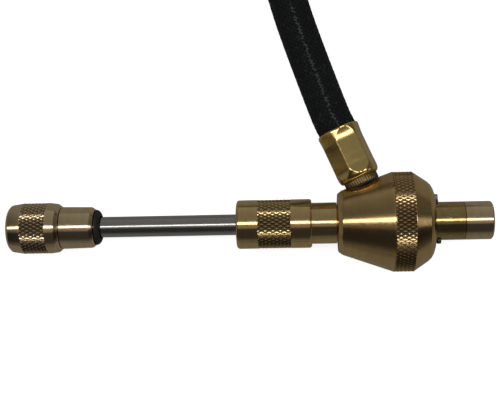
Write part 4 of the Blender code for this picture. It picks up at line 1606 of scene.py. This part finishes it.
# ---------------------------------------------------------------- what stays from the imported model


KEPT: dict[str, Slot] = {
    "burner_tip": Slot.TIP,
    "barrel_oring": Slot.RUBBER,
    "cap_oring": Slot.RUBBER,
    "rear_tube_oring": Slot.RUBBER,
    "torch_hose_end": Slot.RUBBER,
    "supply_hose_end": Slot.RUBBER,
    "lance_packing": Slot.PACKING,
    "packing_follower": Slot.COLLAR,
    "seal_washer": Slot.COLLAR,
    "lance_stop": Slot.COLLAR,
    "rear_tube_stop": Slot.SPRING,
}


def dress_kept(finishes: Finishes) -> None:
    """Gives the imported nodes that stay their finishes.

    Args:
        finishes: The torch's finishes.
    """
    for name, slot in KEPT.items():
        finishes.dress(frame["nodes"][name], slot)
        LOG.info("%s stays as packed", name)


# ---------------------------------------------------------------- studio


@dataclass(frozen=True)
class Band:
    """One band of the studio's surroundings, by the angle across the torch from straight up."""

    until: float
    light: Colour


@dataclass
class Studio:
    """The table, the lights and the camera."""

    camera_at: Place = (0.0005, -0.00046, 0.3136)
    camera_yaw: float = math.radians(-1.17)
    lens: float = 66.96
    strip_at: Place = (-0.05, 0.067, 0.62)
    strip_size: Point = (1.5, 0.10)
    strip_light: float = 3.5
    strip_colour: Colour = (1.0, 1.0, 0.98)
    glow_at: Place = (1.0, -0.02, 0.36)
    glow_size: float = 0.22
    glow_light: float = 0.5
    floor_half: float = 3.0
    floor_reflected: Colour = (0.48, 0.475, 0.455)
    far_left: Colour = (0.16, 0.155, 0.145)
    far_left_from: Point = (-0.76, -0.90)
    seen_room: Colour = (0.95, 0.95, 0.95)
    bands: tuple[Band, ...] = (
        Band(-105.0, (0.22, 0.22, 0.21)),
        Band(-94.0, (0.17, 0.165, 0.157)),
        Band(-66.0, (0.035, 0.035, 0.037)),
        Band(-20.0, (0.035, 0.035, 0.037)),
        Band(-15.0, (0.22, 0.18, 0.17)),
        Band(9.0, (0.22, 0.19, 0.18)),
        Band(12.0, (0.11, 0.11, 0.10)),
        Band(22.0, (0.17, 0.17, 0.16)),
        Band(60.0, (0.21, 0.205, 0.195)),
        Band(100.0, (0.26, 0.255, 0.24)),
    )
    ends: tuple[Point, ...] = ((-0.68, 0.42), (-0.35, 1.0), (0.35, 1.0), (0.75, 0.40))

    def build(self) -> None:
        """Builds the studio."""
        bpy.context.scene.view_settings.view_transform = "Standard"
        self.camera()
        self.table()
        self.lights()
        self.surroundings()

    def camera(self) -> None:
        """Hangs the camera straight above the torch."""
        data = bpy.data.cameras.new("overhead")
        data.lens = self.lens
        data.sensor_width = 36.0
        data.clip_start = 0.01
        camera = linked("overhead", data)
        camera.location = self.camera_at
        camera.rotation_euler = (0.0, 0.0, self.camera_yaw)
        bpy.context.scene.camera = camera

    def table(self) -> None:
        """Makes the pale table. Reflections see it darker than the eye does."""
        half = self.floor_half
        mesh = bpy.data.meshes.new("table")
        corners = [(-half, -half, 0.0), (half, -half, 0.0), (half, half, 0.0), (-half, half, 0.0)]
        mesh.from_pydata(corners, [], [(0, 1, 2, 3)])
        table = linked("table", mesh)
        material, nodes, shader = start_material("table_white")
        seen = nodes.add("LightPath").outputs["Is Camera Ray"]
        dull = nodes.add("BsdfDiffuse")
        dull.inputs["Color"].default_value = (*self.floor_reflected, 1.0)
        shader.inputs["Base Color"].default_value = (0.92, 0.92, 0.92, 1.0)
        shader.inputs["Roughness"].default_value = 0.9
        shader.inputs["Specular IOR Level"].default_value = 0.0
        shader.inputs["Emission Color"].default_value = (1.0, 1.0, 1.0, 1.0)
        shader.inputs["Emission Strength"].default_value = 0.85
        either = nodes.add("MixShader")
        nodes.put(either.inputs[0], seen)
        nodes.put(either.inputs[1], dull.outputs[0])
        nodes.put(either.inputs[2], shader.outputs[0])
        end = next(n for n in material.node_tree.nodes if n.type == "OUTPUT_MATERIAL")
        nodes.put(end.inputs["Surface"], either.outputs[0])
        mesh.materials.append(material)

    @staticmethod
    def hang(name: str, size: Point, radiance: float, place: Place) -> bpy.types.Object:
        """Hangs a rectangular light that the camera doesn't see.

        Args:
            name: Its name.
            size: Its two sides.
            radiance: How bright its face is.
            place: Where its middle is.

        Returns:
            The light, facing down.
        """
        data = bpy.data.lights.new(name, "AREA")
        data.shape = "RECTANGLE"
        data.size, data.size_y = size
        data.energy = radiance * math.pi * size[0] * size[1]
        light = linked(name, data)
        light.location = place
        light.visible_camera = False
        return light

    def lights(self) -> None:
        """Hangs the long strip above the torch and a soft panel off its rear end."""
        strip = self.hang("strip", self.strip_size, self.strip_light, self.strip_at)
        strip.data.color = self.strip_colour
        glow = self.hang("glow", (self.glow_size, self.glow_size), self.glow_light, self.glow_at)
        glow.rotation_euler = Vector(self.glow_at).to_track_quat("Z", "Y").to_euler()

    def surroundings(self) -> None:
        """Paints the room around the table: bands that run along the torch."""
        world = bpy.data.worlds.new("room")
        world.use_nodes = True
        bpy.context.scene.world = world
        nodes = Nodes(world.node_tree)
        parts = nodes.add("SeparateXYZ")
        nodes.put(parts.inputs[0], nodes.add("TexCoord").outputs["Generated"])
        across = nodes.math("ARCTAN2", parts.outputs["Y"], parts.outputs["Z"])
        share = nodes.math("MULTIPLY_ADD", across, 0.5 / math.pi, 0.5)
        ramp = nodes.add("ValToRGB")
        nodes.put(ramp.inputs[0], share)
        elements = ramp.color_ramp.elements
        elements.remove(elements[1])
        first = self.bands[0]
        elements[0].position = first.until / 360.0 + 0.5
        elements[0].color = (*first.light, 1.0)
        for band in self.bands[1:]:
            element = elements.new(band.until / 360.0 + 0.5)
            element.color = (*band.light, 1.0)
        fade = nodes.add("ValToRGB")
        nodes.put(fade.inputs[0], nodes.math("MULTIPLY_ADD", parts.outputs["X"], 0.5, 0.5))
        stops = fade.color_ramp.elements
        stops.remove(stops[1])
        for i, (x, share) in enumerate(self.ends):
            stop = stops.new(0.5 + 0.5 * x) if i else stops[0]
            stop.position = 0.5 + 0.5 * x
            stop.color = (share, share, share, 1.0)
        room = nodes.mix(1.0, ramp.outputs[0], fade.outputs[0], "MULTIPLY")
        leftmost = nodes.ramp(parts.outputs["X"], *self.far_left_from)
        room = nodes.mix(leftmost, room, self.far_left)
        seen = nodes.add("LightPath").outputs["Is Camera Ray"]
        colour = nodes.mix(seen, room, self.seen_room)
        background = next(n for n in world.node_tree.nodes if n.type == "BACKGROUND")
        nodes.put(background.inputs["Color"], colour)


def main() -> None:
    """Builds the studio, the hose and the torch."""
    logging.basicConfig(level=logging.INFO, format="%(message)s")
    Studio().build()
    finishes = Finishes()
    bench = Bench(Layout(), finishes)
    for assembly in (Hose, MixerBody, FrontEnd, RearTube, SidePort):
        assembly(bench).build()
    dress_kept(finishes)
    LOG.info("%d pieces made", len(bench.made))


if __name__ == "__main__":
    main()
